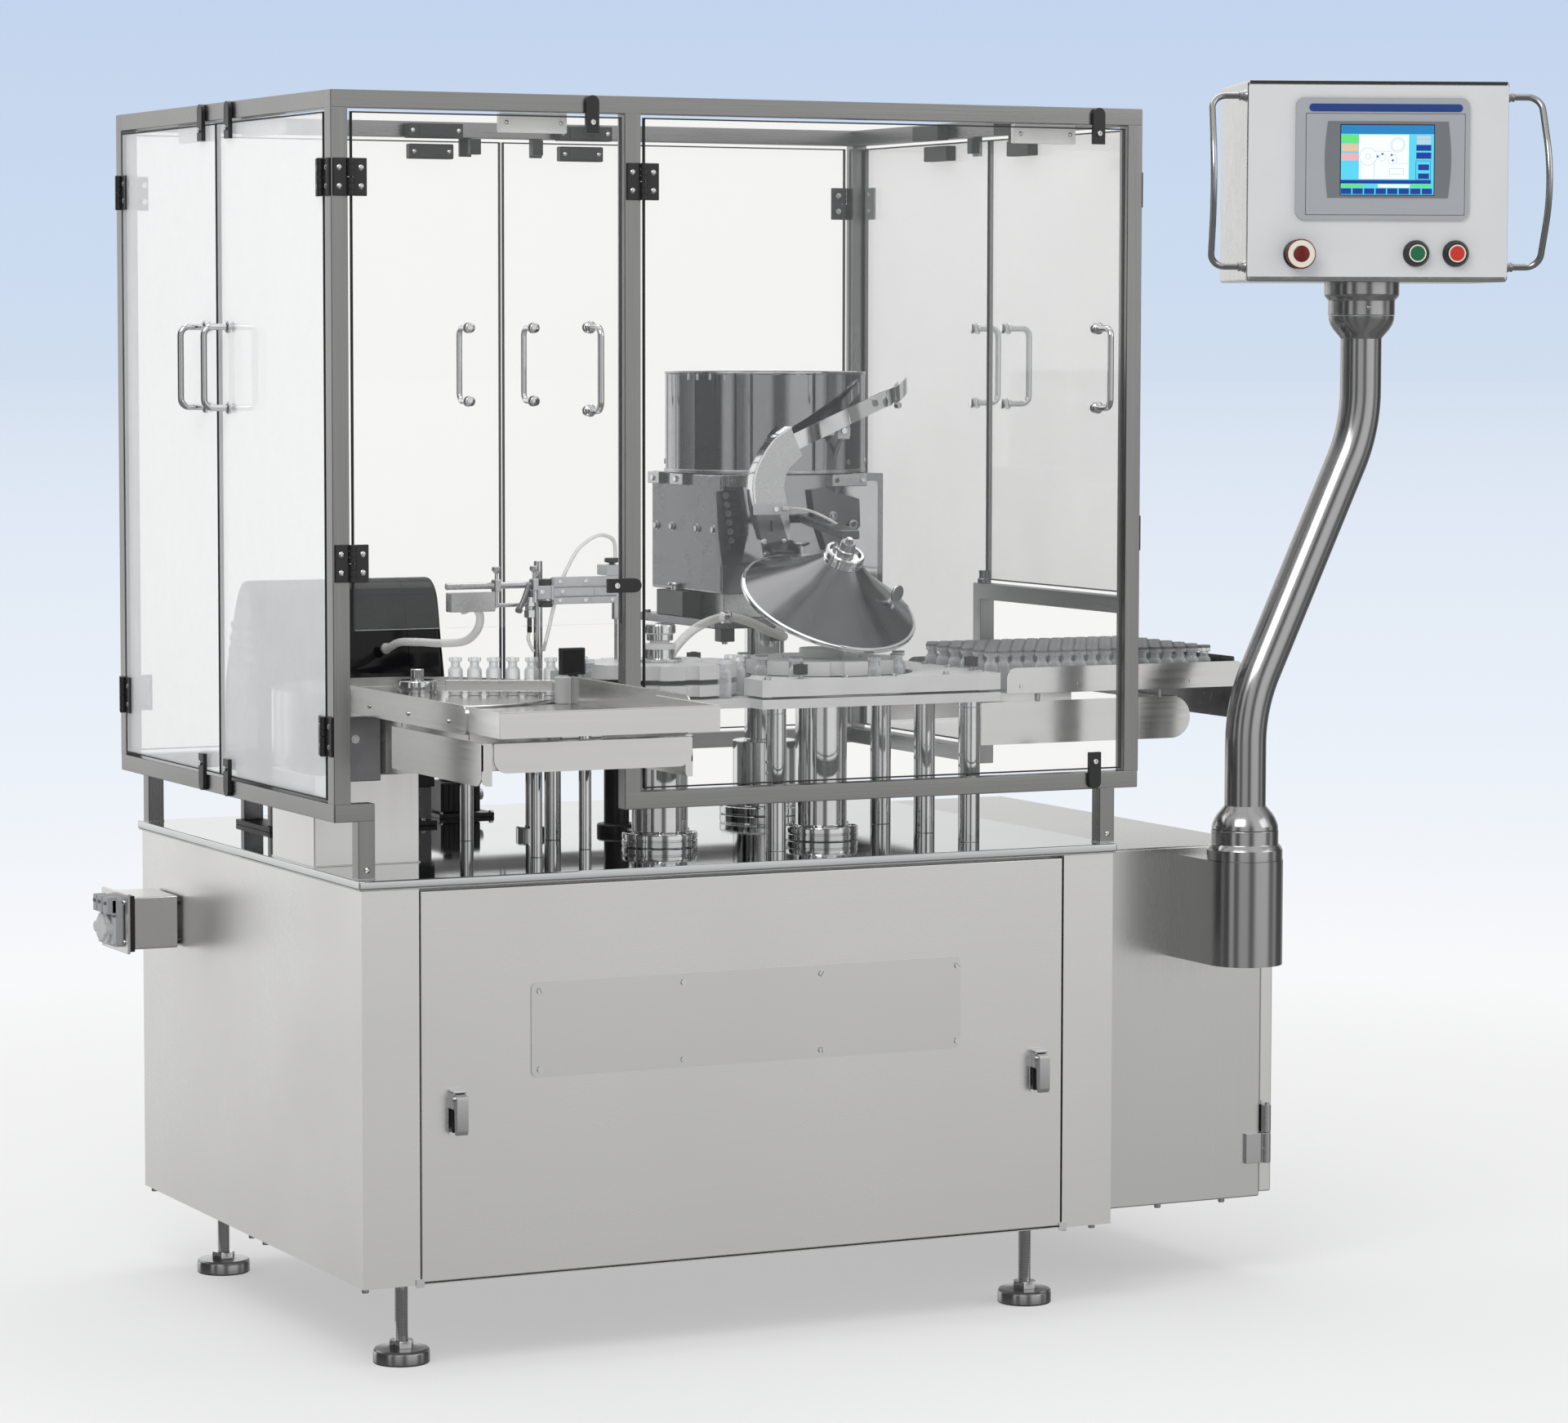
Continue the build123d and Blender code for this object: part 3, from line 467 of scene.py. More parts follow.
def fil(points, radii, n=7):
    """Polyline with its inner corners rounded."""
    P = [Vector(p) for p in points]
    rs = [radii] * (len(P) - 2) if isinstance(radii, (int, float)) else list(radii)
    out = [P[0]]
    for i in range(1, len(P) - 1):
        a, b = (P[i - 1] - P[i]).normalized(), (P[i + 1] - P[i]).normalized()
        th = a.angle(b)
        if th > 3.13:
            out.append(P[i])
            continue
        t = rs[i - 1] / math.tan(th / 2)
        c = P[i] + (a + b).normalized() * (rs[i - 1] / math.sin(th / 2))
        u, w = P[i] + a * t - c, P[i] + b * t - c
        g = u.angle(w)
        for k in range(n + 1):
            s = k / n
            out.append(c + (u * math.sin((1 - s) * g) + w * math.sin(s * g)) / math.sin(g))
    out.append(P[-1])
    return out


def spl(points, n=8):
    """Smooth curve through the points."""
    P = [Vector(p) for p in points]
    P = [P[0] * 2 - P[1]] + P + [P[-1] * 2 - P[-2]]
    out = []
    for i in range(1, len(P) - 2):
        for k in range(n):
            t = k / n
            a, b, c, d = P[i - 1], P[i], P[i + 1], P[i + 2]
            out.append(0.5 * ((2 * b) + (c - a) * t + (2 * a - 5 * b + 4 * c - d) * t * t + (3 * b - a - 3 * c + d) * t ** 3))
    out.append(P[-2])
    return out


def bev(bm, r, seg, ang):
    if r > 0:
        es = [e for e in bm.edges if len(e.link_faces) == 2 and e.calc_face_angle(0.0) > ang]
        bmesh.ops.bevel(bm, geom=es, offset=r, offset_type="OFFSET", segments=seg, profile=0.5, affect="EDGES", clamp_overlap=True)


class Kit:
    """Collects shapes given in the cabinet's millimetres and makes one mesh piece of them."""

    def __init__(self, mat="chrome", T=None):
        self.v, self.f, self.m, self.mats = [], [], [], []
        self.T = T or Matrix.Identity(4)
        self.use(mat)

    def use(self, mat):
        if mat not in self.mats:
            self.mats.append(mat)
        self.k = self.mats.index(mat)
        return self

    def take(self, bm, T=None):
        T = self.T @ T if T is not None else self.T
        bmesh.ops.recalc_face_normals(bm, faces=bm.faces)
        bm.verts.index_update()
        o = len(self.v)
        self.v += [T @ v.co for v in bm.verts]
        for f in bm.faces:
            self.f.append([v.index + o for v in f.verts])
            self.m.append(self.k)
        bm.free()
        return self

    def box(self, x0, x1, y0, y1, z0, z1, r=0.0, seg=2, T=None):
        bm = bmesh.new()
        bmesh.ops.create_cube(bm, size=1.0)
        c, s = Vector(((x0 + x1) / 2, (y0 + y1) / 2, (z0 + z1) / 2)), (x1 - x0, y1 - y0, z1 - z0)
        for v in bm.verts:
            v.co = c + Vector((v.co.x * s[0], v.co.y * s[1], v.co.z * s[2]))
        bev(bm, r, seg, 0.5)
        return self.take(bm, T)

    def prism(self, pts, a, b, plane="xy", r=0.0, seg=2, T=None, ang=0.6):
        bm = bmesh.new()
        q = {"xy": lambda p, h: (p[0], p[1], h), "xz": lambda p, h: (p[0], h, p[1]), "yz": lambda p, h: (h, p[0], p[1])}[plane]
        lo = [bm.verts.new(q(p, a)) for p in pts]
        hi = [bm.verts.new(q(p, b)) for p in pts]
        bm.faces.new(lo)
        bm.faces.new(hi[::-1])
        n = len(pts)
        for i in range(n):
            bm.faces.new((lo[i], hi[i], hi[(i + 1) % n], lo[(i + 1) % n]))
        bev(bm, r, seg, ang)
        return self.take(bm, T)

    def loft(self, outlines, T=None):
        """Closed shape through outlines with the same number of points."""
        bm = bmesh.new()
        rings = [[bm.verts.new(p) for p in o] for o in outlines]
        n = len(rings[0])
        bm.faces.new(rings[0])
        bm.faces.new(rings[-1][::-1])
        for A, B in zip(rings, rings[1:]):
            for i in range(n):
                bm.faces.new((A[i], B[i], B[(i + 1) % n], A[(i + 1) % n]))
        return self.take(bm, T)

    def lathe(self, c, d, prof, seg=32, hexes=(), x=None):
        """Solid of revolution; prof holds (radius, height along d). Rings named in hexes are hexagons."""
        bm = bmesh.new()
        rings = []
        for i, (r, h) in enumerate(prof):
            if r <= 1e-6:
                rings.append([bm.verts.new((0, 0, h))])
                continue
            ring = []
            for k in range(seg):
                a = 2 * math.pi * k / seg
                rr = r * math.cos(math.pi / 6) / math.cos((a % (math.pi / 3)) - math.pi / 6) if i in hexes else r
                ring.append(bm.verts.new((rr * math.cos(a), rr * math.sin(a), h)))
            rings.append(ring)
        pairs = list(zip(rings, rings[1:]))
        if len(rings[0]) > 1 and len(rings[-1]) > 1:
            pairs.append((rings[-1], rings[0]))
        for A, B in pairs:
            if len(A) == 1 and len(B) == 1:
                continue
            for k in range(seg):
                j = (k + 1) % seg
                if len(A) == 1:
                    bm.faces.new((A[0], B[k], B[j]))
                elif len(B) == 1:
                    bm.faces.new((A[k], B[0], A[j]))
                else:
                    bm.faces.new((A[k], B[k], B[j], A[j]))
        return self.take(bm, frame_of(c, d, x))

    def cyl(self, c, d, r, h, b=0.0, seg=32):
        b = min(b, r * 0.45, abs(h) * 0.45)
        if b <= 0:
            return self.lathe(c, d, [(0, 0), (r, 0), (r, h), (0, h)], seg)
        q = b * 0.3
        return self.lathe(c, d, [(0, 0), (r - b, 0), (r - q, q), (r, b), (r, h - b), (r - q, h - q), (r - b, h), (0, h)], seg)

    def tube(self, pts, r, seg=14):
        P = [Vector(p) for p in pts]
        bm = bmesh.new()
        t0 = (P[1] - P[0]).normalized()
        ref = Vector((0, 0, 1)) if abs(t0.z) < 0.9 else Vector((1, 0, 0))
        n = (ref - t0 * ref.dot(t0)).normalized()
        rings = []
        for i, p in enumerate(P):
            t = (P[min(i + 1, len(P) - 1)] - P[max(i - 1, 0)]).normalized()
            n = t0.rotation_difference(t) @ n
            n = (n - t * n.dot(t)).normalized()
            b = t.cross(n)
            rr = r[i] if hasattr(r, "__len__") else r
            rings.append([bm.verts.new(p + (n * math.cos(2 * math.pi * k / seg) + b * math.sin(2 * math.pi * k / seg)) * rr) for k in range(seg)])
            t0 = t
        bm.faces.new(rings[0])
        bm.faces.new(rings[-1][::-1])
        for A, B in zip(rings, rings[1:]):
            for k in range(seg):
                bm.faces.new((A[k], B[k], B[(k + 1) % seg], A[(k + 1) % seg]))
        return self.take(bm)

    def socket(self, c, d, r=3.2, h=3.2, mat=None):
        """Socket head cap screw."""
        if mat:
            self.use(mat)
        return self.lathe(c, d, [(0, 0), (r, 0), (r, h * 0.82), (r * 0.9, h), (r * 0.55, h), (r * 0.55, h * 0.35), (0, h * 0.35)], 24, hexes=(4, 5))

    def dome(self, c, d, r=3.2, h=1.8, mat=None):
        if mat:
            self.use(mat)
        return self.lathe(c, d, [(0, 0), (r, 0), (r, h * 0.25), (r * 0.86, h * 0.66), (r * 0.5, h * 0.95), (r * 0.42, h * 0.98), (r * 0.36, h * 0.45), (0, h * 0.4)], 24, hexes=(5, 6))

    def slotted(self, c, d, r=4.5, h=2.2, turn=30.0, mat=None):
        """Round head in two halves with the driver slot between them."""
        if mat:
            self.use(mat)
        base = frame_of(c, d) @ Matrix.Rotation(math.radians(turn), 4, "Z")
        w = r * 0.16
        self.lathe(c, d, [(0, 0), (r, 0), (r, h * 0.35), (0, h * 0.35)], 24)
        for sgn in (0, 1):
            T = base @ Matrix.Rotation(math.pi * sgn, 4, "Z")
            a0 = math.asin(w / (r * 0.99))
            pts = [(r * 0.99 * math.cos(a0 + (math.pi - 2 * a0) * k / 10), r * 0.99 * math.sin(a0 + (math.pi - 2 * a0) * k / 10)) for k in range(11)]
            self.prism(pts, h * 0.3, h, "xy", r=min(0.5, r * 0.12), seg=2, T=T, ang=0.9)
        return self

    def hexhead(self, c, d, r=5.0, h=4.0, mat=None):
        if mat:
            self.use(mat)
        return self.lathe(c, d, [(0, 0), (r, 0), (r, h * 0.86), (r * 0.88, h), (0, h)], 24, hexes=(1, 2))

    def done(self, name, body, replaces=(), smooth=36, weighted=True):
        me = bpy.data.meshes.new(name)
        me.from_pydata([mm(*v) for v in self.v], [], self.f)
        for m in self.mats:
            me.materials.append(M[m])
        me.polygons.foreach_set("material_index", self.m)
        me.polygons.foreach_set("use_smooth", [True] * len(self.f))
        me.update()
        me.set_sharp_from_angle(angle=math.radians(smooth))
        ob = bpy.data.objects.new(name, me)
        scene.collection.objects.link(ob)
        if weighted:
            wn = ob.modifiers.new("weighted", "WEIGHTED_NORMAL")
            wn.keep_sharp = True
        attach(ob, body)
        if replaces:
            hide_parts(*([replaces] if isinstance(replaces, str) else replaces))
        return ob


def thread(r, z0, z1, pitch=2.6, depth=1.0):
    """Profile of a threaded stud between two heights."""
    n = int((z1 - z0) / pitch)
    pts = []
    for k in range(n):
        z = z0 + (z1 - z0) * k / n
        pts += [(r, z), (r - depth, z + (z1 - z0) / n * 0.5)]
    return pts + [(r, z1)]


# ------------------------------------------------------------------ base cabinet
k = Kit("sheet_x")
k.prism([(0, 0), (87, 0), (87, 22), (1134, 22), (1134, 0), (1219.2, 0), (1219.2, 957), (0, 957)], 0, 570, "xy", r=2.6, seg=3, ang=0.8)
k.box(87, 1134, 0.4, 22, 0.2, 1.4, 0.4)
for x, y in ((7.5, 12), (63.2, 12), (1143, 12), (1192.4, 12), (8, 934), (8, 483), (8, 423), (1180, 940), (600, 940), (40, 948)):
    k.socket((x, y, 0), (0, 0, -1), 5.2, 6.5, "satin")
# rear service panel with its screws
k.use("sheet_x").box(95, 1124, 957, 959.5, 30, 540, 1.0)
for x in (110, 450, 780, 1109):
    for z in (45, 525):
        k.slotted((x, 959.5, z), (0, 1, 0), 4.6, 2.2, 20 + x % 50, "chrome")
k.done("base_cabinet_shell", "machine", "base_cabinet")

k = Kit("panel")
k.box(89.2, 1131.8, 0.0, 20, 3.2, 564.8, 1.8, 3)
for x0, x1 in ((80, 92.5), (1128.5, 1141)):
    k.use("chrome").prism(rrect(x0, x1, -3.5, 9, 2), -2.2, 2.0, "xz", r=0.6)
k.done("front_access_door_sheet", "machine", "front_access_panel")

k = Kit("plate_label")
k.prism(rrect(259, 957, 287, 425, 10, 6), -1.5, 0, "xz", r=0.5)
for i, x in enumerate((272.7, 500.3, 724.5, 951.5)):
    for j, z in enumerate((412, 298.5)):
        k.slotted((x, -1.4, z), (0, -1, 0), 4.8, 2.3, (25, 70, -35, 48)[i] + 40 * j, "chrome")
k.done("bare_name_plate", "machine", "name_plate")

k = Kit("chrome")
for lx, lz in ((143.2, 245.8), (1089.6, 244.3)):
    k.use("chrome").prism(rrect(lx - 13, lx + 13, lz - 33, lz + 34, 5), -1.6, 0, "xz", r=0.5)
    k.box(lx - 10.5, lx - 7, -13, -1, lz + 5, lz + 31, 1.2)
    k.box(lx + 7, lx + 10.5, -13, -1, lz + 5, lz + 31, 1.2)
    k.box(lx - 10.5, lx + 10.5, -13, -1, lz + 28, lz + 31.5, 1.0)
    k.cyl((lx - 11.5, -12, lz + 20), (1, 0, 0), 3.2, 23, 0.8, 20)
    k.use("black").prism(rrect(lx - 8, lx + 8, lz - 30, lz + 4, 3), -2.4, -1.2, "xz", r=0.3)
    prof = [(-8, lz + 27), (-14, lz + 27), (-23, lz + 24), (-24.5, lz + 20), (-24.5, lz - 24), (-21.5, lz - 31), (-16, lz - 31), (-14.5, lz - 22), (-13.5, lz + 2), (-8, lz + 11)]
    k.use("satin").prism(prof, lx - 8.6, lx + 8.6, "yz", r=1.3, seg=3, ang=0.35)
k.done("drop_lever_latches", "machine", "panel_latches")

k = Kit("mirror")
k.box(-5, 1224.2, -5, 966, 570.6, 583, 2.4, 3)
k.use("satin").box(-3, 1222, -3, 964, 568.6, 570.6, 0.6)
k.done("table_top_plate", "machine", "table_plate")

k = Kit("turned")
for fx in (96.0, 1219.2 - 96.0):
    for fy in (97.5, 957 - 97.5):
        z = -130
        k.use("turned").lathe((fx, fy, 0), (0, 0, 1), [(0, z), (38.6, z), (40.6, z + 1.2), (41.3, z + 3.2), (41.3, z + 15.5), (40.2, z + 17.2), (40.2, z + 18.2), (41.0, z + 19.4), (38.8, z + 21.4), (24, z + 22.4), (22, z + 23.2), (0, z + 23.2)], 56)
        k.use("rubber").lathe((fx, fy, 0), (0, 0, 1), [(0, z + 0.05), (39.6, z + 0.05), (41.2, z + 1.8), (38, z + 3), (0, z + 3)], 40)
        k.use("chrome").lathe((fx, fy, z + 22), (0, 0, 1), [(0, 0), (18.5, 0), (18.5, 9.4), (17.2, 11), (0, 11)], 24, hexes=(1, 2))
        k.lathe((fx, fy, 0), (0, 0, 1), [(0, z + 30)] + thread(10.0, z + 31, -9, 2.6, 0.9) + [(0, -9)], 24)
        k.lathe((fx, fy, -9), (0, 0, 1), [(0, 0), (17, 0), (17, 7.6), (15.8, 9), (0, 9)], 24, hexes=(1, 2))
k.done("threaded_leveling_feet", "machine", "leveling_feet")

k = Kit("ec")
k.box(1219.2, 1549.7, 106.6, 957, 0, 559, 2.4, 3)
k.box(1222, 1546, 109, 955, 559, 560.4, 0.5)
for x in (1371.1, 1487.2):
    k.socket((x, 118, 0), (0, 0, -1), 5.2, 6.5, "satin")
for x in (1371.1, 1487.2):
    k.socket((x, 944, 0), (0, 0, -1), 5.2, 6.5, "satin")
for z0 in (54, 420):
    k.use("satin").box(1522, 1552.7, 100.6, 106.9, z0, z0 + 47, 0.8)
    k.lathe((1558, 99, z0), (0, 0, 1), [(0, 0), (5.6, 0), (6.5, 1), (6.5, 22.6), (6.0, 23.2), (6.5, 23.8), (6.5, 46), (5.6, 47), (0, 47)], 28)
    k.box(1549.7, 1557, 98.6, 102.6, z0, z0 + 47, 0.6)
k.done("electrical_cabinet_shell", "machine", "electrical_cabinet")

k = Kit("sheet_z")
k.box(1551.2, 1573.2, 110.6, 951, 6, 552, 2.2, 3)
for z0 in (54, 420):
    k.use("satin").box(1551.2, 1557.2, 99, 112.6, z0 + 48, z0 + 92, 0.8)
    k.lathe((1558, 99, z0 + 48), (0, 0, 1), [(0, 0), (5.6, 0), (6.5, 1), (6.5, 43), (5.6, 44), (3.4, 44), (3.4, 47), (2.6, 48), (0, 48)], 28)
for z in (150, 410):
    k.use("black").cyl((1573.2, 905, z), (1, 0, 0), 13, 3.2, 1.2, 28)
    k.use("chrome").cyl((1576.2, 905, z), (1, 0, 0), 8.5, 2.4, 0.8, 24)
    k.use("black").box(1578.2, 1579.0, 903.6, 906.4, z - 5.5, z + 5.5, 0.3)
k.done("electrical_cabinet_door_sheet", "electrical_cabinet_door", "electrical_cabinet_door")

# isolator box and its lockable switch
k = Kit("dark_steel")
k.use("sheet_y").box(-76, -5, 774, 890, 402, 483, 2.4, 3)
k.use("black").box(-84, -75.5, 771, 893, 399, 486, 1.2)
k.use("sheet_y").box(-88.4, -84, 768, 896, 396, 489, 1.2, 2)
for y in (784, 880):
    for z in (412, 473):
        k.use("black").cyl((-5, y, z), (1, 0, 0), 5.5, 5, 0.6, 20)
    k.use("black").prism(rrect(y - 3.4, y + 3.4, 408, 480, 3.3), -89.0, -88.2, "yz", r=0.25)
    for z in (413, 475):
        k.dome((-88.6, y, z), (-1, 0, 0), 4.2, 3.4, "chrome")
k.done("isolator_box_shell", "machine", "disconnect_box")
k = Kit("grey")
k.prism(rrect(797, 867, 404, 481, 6), -97, -88.4, "yz", r=1.4)
k.use("light_grey").prism(rrect(800, 864, 408, 452, 5), -101, -96.6, "yz", r=1.2)
k.use("grey").box(-112, -96, 797, 820, 456, 482, 1.8)
k.box(-112, -96, 826, 846, 456, 482, 1.8)
k.box(-112, -96, 851, 867, 456, 482, 1.8)
k.box(-104, -96, 797, 867, 454, 478, 1.0)
for y0 in (800.5, 829, 853):
    k.use("black").box(-112.6, -111.6, y0, y0 + 12, 470, 475, 0.3)
for y in (810, 832, 854):
    k.use("light_grey").lathe((-97, y, 432), (-1, 0, 0), [(0, 0), (8.6, 0), (8.6, 15), (7.4, 16.6), (0, 16.6)], 28)
k.use("roller").lathe((-97.5, 832, 432), (-1, 0, 0), [(20, 0), (26, 0), (26, 3.2), (24.5, 4.4), (20, 4.4)], 44)
k.lathe((-103.5, 832, 432), (-1, 0, 0), [(20, 0), (26, 0), (26, 3.2), (24.5, 4.4), (20, 4.4)], 44)
k.use("light_grey").lathe((-96.5, 832, 432), (-1, 0, 0), [(0, 0), (21, 0), (21, 14.5), (19.5, 16.2), (12, 16.8), (0, 16.8)], 40)
k.box(-114, -96.5, 827.5, 836.5, 410, 455, 2.0, 2)
k.done("isolator_switch_body", "machine", "disconnect_switch")

# ------------------------------------------------------------------ guard frame
GX0, GX1, GY0, GY1, GZ0, GZ1, TB = -34.3, 1271.0, 15.5, 955.8, 665.6, 1691.9, 25.4
ZT, ZB, MX, IPY, OUTZ = GZ1 - TB, GZ0 + TB, 414.6, 476.0, 930.0
R = 1.3
k = Kit("tube_z")
for x, y in ((GX0, GY0), (GX1 - TB, GY0), (GX0, GY1 - TB), (GX1 - TB, GY1 - TB)):
    k.box(x, x + TB, y, y + TB, ZB - 1, ZT + 1, R)
k.box(MX, MX + TB, GY0 + 0.05, GY0 + TB, GZ0, ZT + 2, R)
k.box(GX1 - TB, GX1 - 0.05, IPY, IPY + TB, GZ0, OUTZ + 2, R)
k.done("guard_corner_posts", "machine", "guard_posts")
k = Kit("tube_x")
k.box(GX0, GX1, GY0 - 0.0, GY0 + TB, ZT, GZ1, R)
k.box(GX0, GX1, GY1 - TB, GY1, ZT, GZ1, R)
k.use("tube_y").box(GX0 + 0.05, GX0 + TB, GY0 + TB - 2, GY1 - TB + 2, ZT, GZ1, R)
k.box(GX1 - TB, GX1 - 0.05, GY0 + TB - 2, GY1 - TB + 2, ZT, GZ1, R)
k.done("guard_top_rails", "machine", "guard_upper_rails")
k = Kit("tube_x")
k.box(MX + 1, GX1 - 1, GY0, GY0 + TB, GZ0, ZB, R)
k.box(GX0 + 1, GX1 - 1, GY1 - TB, GY1, GZ0, ZB, R)
k.box(GX0 + 1, 1.9 + TB, GY0, GY0 + TB, GZ0, ZB, R)
k.use("tube_y").box(GX0 + 0.05, GX0 + TB, GY0 + 1, GY1 - 1, GZ0, ZB, R)
k.box(GX1 - TB, GX1 - 0.05, IPY + 1, GY1 - 1, GZ0, ZB, R)
k.box(GX1 - TB, GX1 - 0.05, GY0 + 1, IPY + TB, OUTZ, OUTZ + TB, R)
k.socket((GX1, 461.7, 943), (1, 0, 0), 4.6, 4.2, "chrome")
k.use("dark_steel").lathe((GX1 - 12, 488, OUTZ + TB), (0, 0, 1), [(0, 0), (11, 0), (11, 6), (8.6, 8), (8.6, 20), (0, 20)], 24)
k.done("guard_bottom_rails", "machine", "guard_lower_rails")
k = Kit("tube_z")
for x, y in ((1.9, GY0), (1204.6, GY0), (1.9, GY1 - TB), (1204.6, GY1 - TB)):
    k.use("tube_z").box(x, x + TB, y + 0.03, y + TB - 0.03, 583, GZ0 + 1, R)
    k.use("satin").box(x - 0.4, x + TB + 0.4, y - 0.4, y + TB + 0.4, 583, 584.6, 0.4)
for x in (15.2, 1217.9):
    k.dome((x, GY0, 596.5), (0, -1, 0), 4.4, 2.6, "chrome")
    k.dome((x, GY1, 596.5), (0, 1, 0), 4.4, 2.6, "chrome")
k.done("guard_leg_tubes", "machine", "guard_legs")

# ------------------------------------------------------------------ guard doors
HO, DT, GAP = 5.5, 6.0, 5.0
DTOP, DBOT = GZ1 - TB - GAP, GZ0 + TB + GAP
H0, H1 = 1243.0, 1362.0
fixed = Kit("black")


def tongue(k, P, s0, s1, n0, n1, a, b, end, x_axis, out, slotpos=None):
    """Flat black tab with one rounded end: drawn upright or lying, end says which end is round."""
    w = (s1 - s0) / 2 if end in ("up", "down") else (b - a) / 2
    if end == "up":
        pts = [(s0, a), (s1, a)] + [((s0 + s1) / 2 + w * math.cos(t), b - w + w * math.sin(t)) for t in [math.pi * i / 12 for i in range(13)]]
    elif end == "down":
        pts = [(s1, b), (s0, b)] + [((s0 + s1) / 2 - w * math.cos(t), a + w - w * math.sin(t)) for t in [math.pi * i / 12 for i in range(13)]]
    else:
        pts = [(s1, b), (s1, a)] + [(s0 + w - w * math.sin(t), (a + b) / 2 - w * math.cos(t)) for t in [math.pi * i / 12 for i in range(13)]]
    T = Matrix((Vector(x_axis), Vector((0, 0, 1)), Vector(x_axis).cross(Vector((0, 0, 1))))).transposed().to_4x4()
    sgn = 1 if T.col[2].to_3d().dot(Vector(out)) > 0 else -1
    T.translation = Vector(P)
    k.prism(pts, sgn * n0, sgn * n1, "xy", r=1.0, seg=2, T=T)


def door(name, hx, hy, tdir, ndir, length, z0, z1, hinges, hs, tabs, htab=None, notch=None, slim=False):
    tx, ty = tdir
    nx, ny = ndir
    body = name + "_guard_door"
    t3, n3 = Vector((tx, ty, 0)), Vector((nx, ny, 0))
    h = -HO

    def P(s, n, z):
        return (hx + s * tx + n * nx, hy + s * ty + n * ny, z)

    def B(kit, s0, s1, n0, n1, a, b, r=0.0):
        xs = sorted((hx + s0 * tx + n0 * nx, hx + s1 * tx + n1 * nx))
        ys = sorted((hy + s0 * ty + n0 * ny, hy + s1 * ty + n1 * ny))
        kit.box(xs[0], xs[1], ys[0], ys[1], a, b, r)

    # dark edge trim round the clear sheet
    k = Kit("rubber")
    e, g = 1.6, 0.25
    if notch:
        sN, zN = notch
        B(k, 2.6 - g, 2.6 + e, h - DT - g, h + g, z0 - g, z1 + g)
        B(k, length - e, length + g, h - DT - g, h + g, zN - g, z1 + g)
        B(k, sN - e, sN + g, h - DT - g, h + g, z0 - g, zN + g)
        B(k, 2.6, length, h - DT - g, h + g, z1 - e, z1 + g)
        B(k, 2.6, sN, h - DT - g, h + g, z0 - g, z0 + e)
        B(k, sN - e, length, h - DT - g, h + g, zN - g, zN + e)
    else:
        B(k, 2.6 - g, 2.6 + e, h - DT - g, h + g, z0 - g, z1 + g)
        B(k, length - e, length + g, h - DT - g, h + g, z0 - g, z1 + g)
        B(k, 2.6, length, h - DT - g, h + g, z1 - e, z1 + g)
        if name != "front_left":
            B(k, 2.6, length, h - DT - g, h + g, z0 - g, z0 + e)
    k.done(name + "_door_edge_trim", body)

    k = Kit("black")
    for a, b in hinges:
        m = (a + b) / 2
        # moving leaf and half of the barrel with its ridges
        B(k.use("black"), 5.4, 25, h, h + 3.4, a, b, 1.0)
        B(k, 1.5, 6.2, h + 0.6, h + 3.2, m + 0.3, b, 0.4)
        prof = [(0, m + 0.3), (4.4, m + 0.3), (5.0, m + 0.9)]
        step = (b - m) / 3
        for i in (1, 2):
            prof += [(5.0, m + step * i - 0.8), (4.5, m + step * i - 0.3), (4.5, m + step * i + 0.3), (5.0, m + step * i + 0.8)]
        prof += [(5.0, b - 0.8), (4.4, b), (0, b)]
        k.lathe((hx, hy, 0), (0, 0, 1), prof, 24)
        for z in (a + 13.5, b - 13.5):
            k.dome(P(16.2, h + 3.2, z), n3, 4.1, 1.6, "chrome")
        # fixed leaf
        B(fixed.use("black"), -25, -5.4, h, h + 3.4, a, b, 1.0)
        B(fixed, -6.2, -1.5, h + 0.6, h + 3.2, a, m - 0.3, 0.4)
        prof = [(0, a), (4.4, a), (5.0, a + 0.8)]
        for i in (1, 2):
            prof += [(5.0, a + step * i - 0.8), (4.5, a + step * i - 0.3), (4.5, a + step * i + 0.3), (5.0, a + step * i + 0.8)]
        prof += [(5.0, m - 0.9), (4.4, m - 0.3), (0, m - 0.3)]
        fixed.lathe((hx, hy, 0), (0, 0, 1), prof, 24)
        for z in (a + 13.5, b - 13.5):
            fixed.dome(P(-16.2, h + 3.2, z), n3, 4.1, 1.6, "chrome")
        # nuts on the inner face of the clear sheet
        for z in (a + 13.5, b - 13.5):
            k.cyl(P(16.2, h - DT, z), -n3, 4.6, 2.6, 0.7, 20)
    # pull handle
    k.use("chrome").tube(fil([P(hs, h + 2, H0), P(hs, h + 40, H0), P(hs, h + 40, H1), P(hs, h + 2, H1)], 13, 8), 4.9, 16)
    for z in (H0, H1):
        k.lathe(P(hs, h, z), n3, [(0, 0), (8.6, 0), (9.0, 1.0), (9.0, 3.6), (7.2, 5.4), (5.4, 6.4), (0, 6.4)], 28)
        k.lathe(P(hs, h - DT, z), -n3, [(0, 0), (7.6, 0), (8.0, 0.8), (8.0, 2.6), (6.6, 3.6), (0, 3.6)], 24)
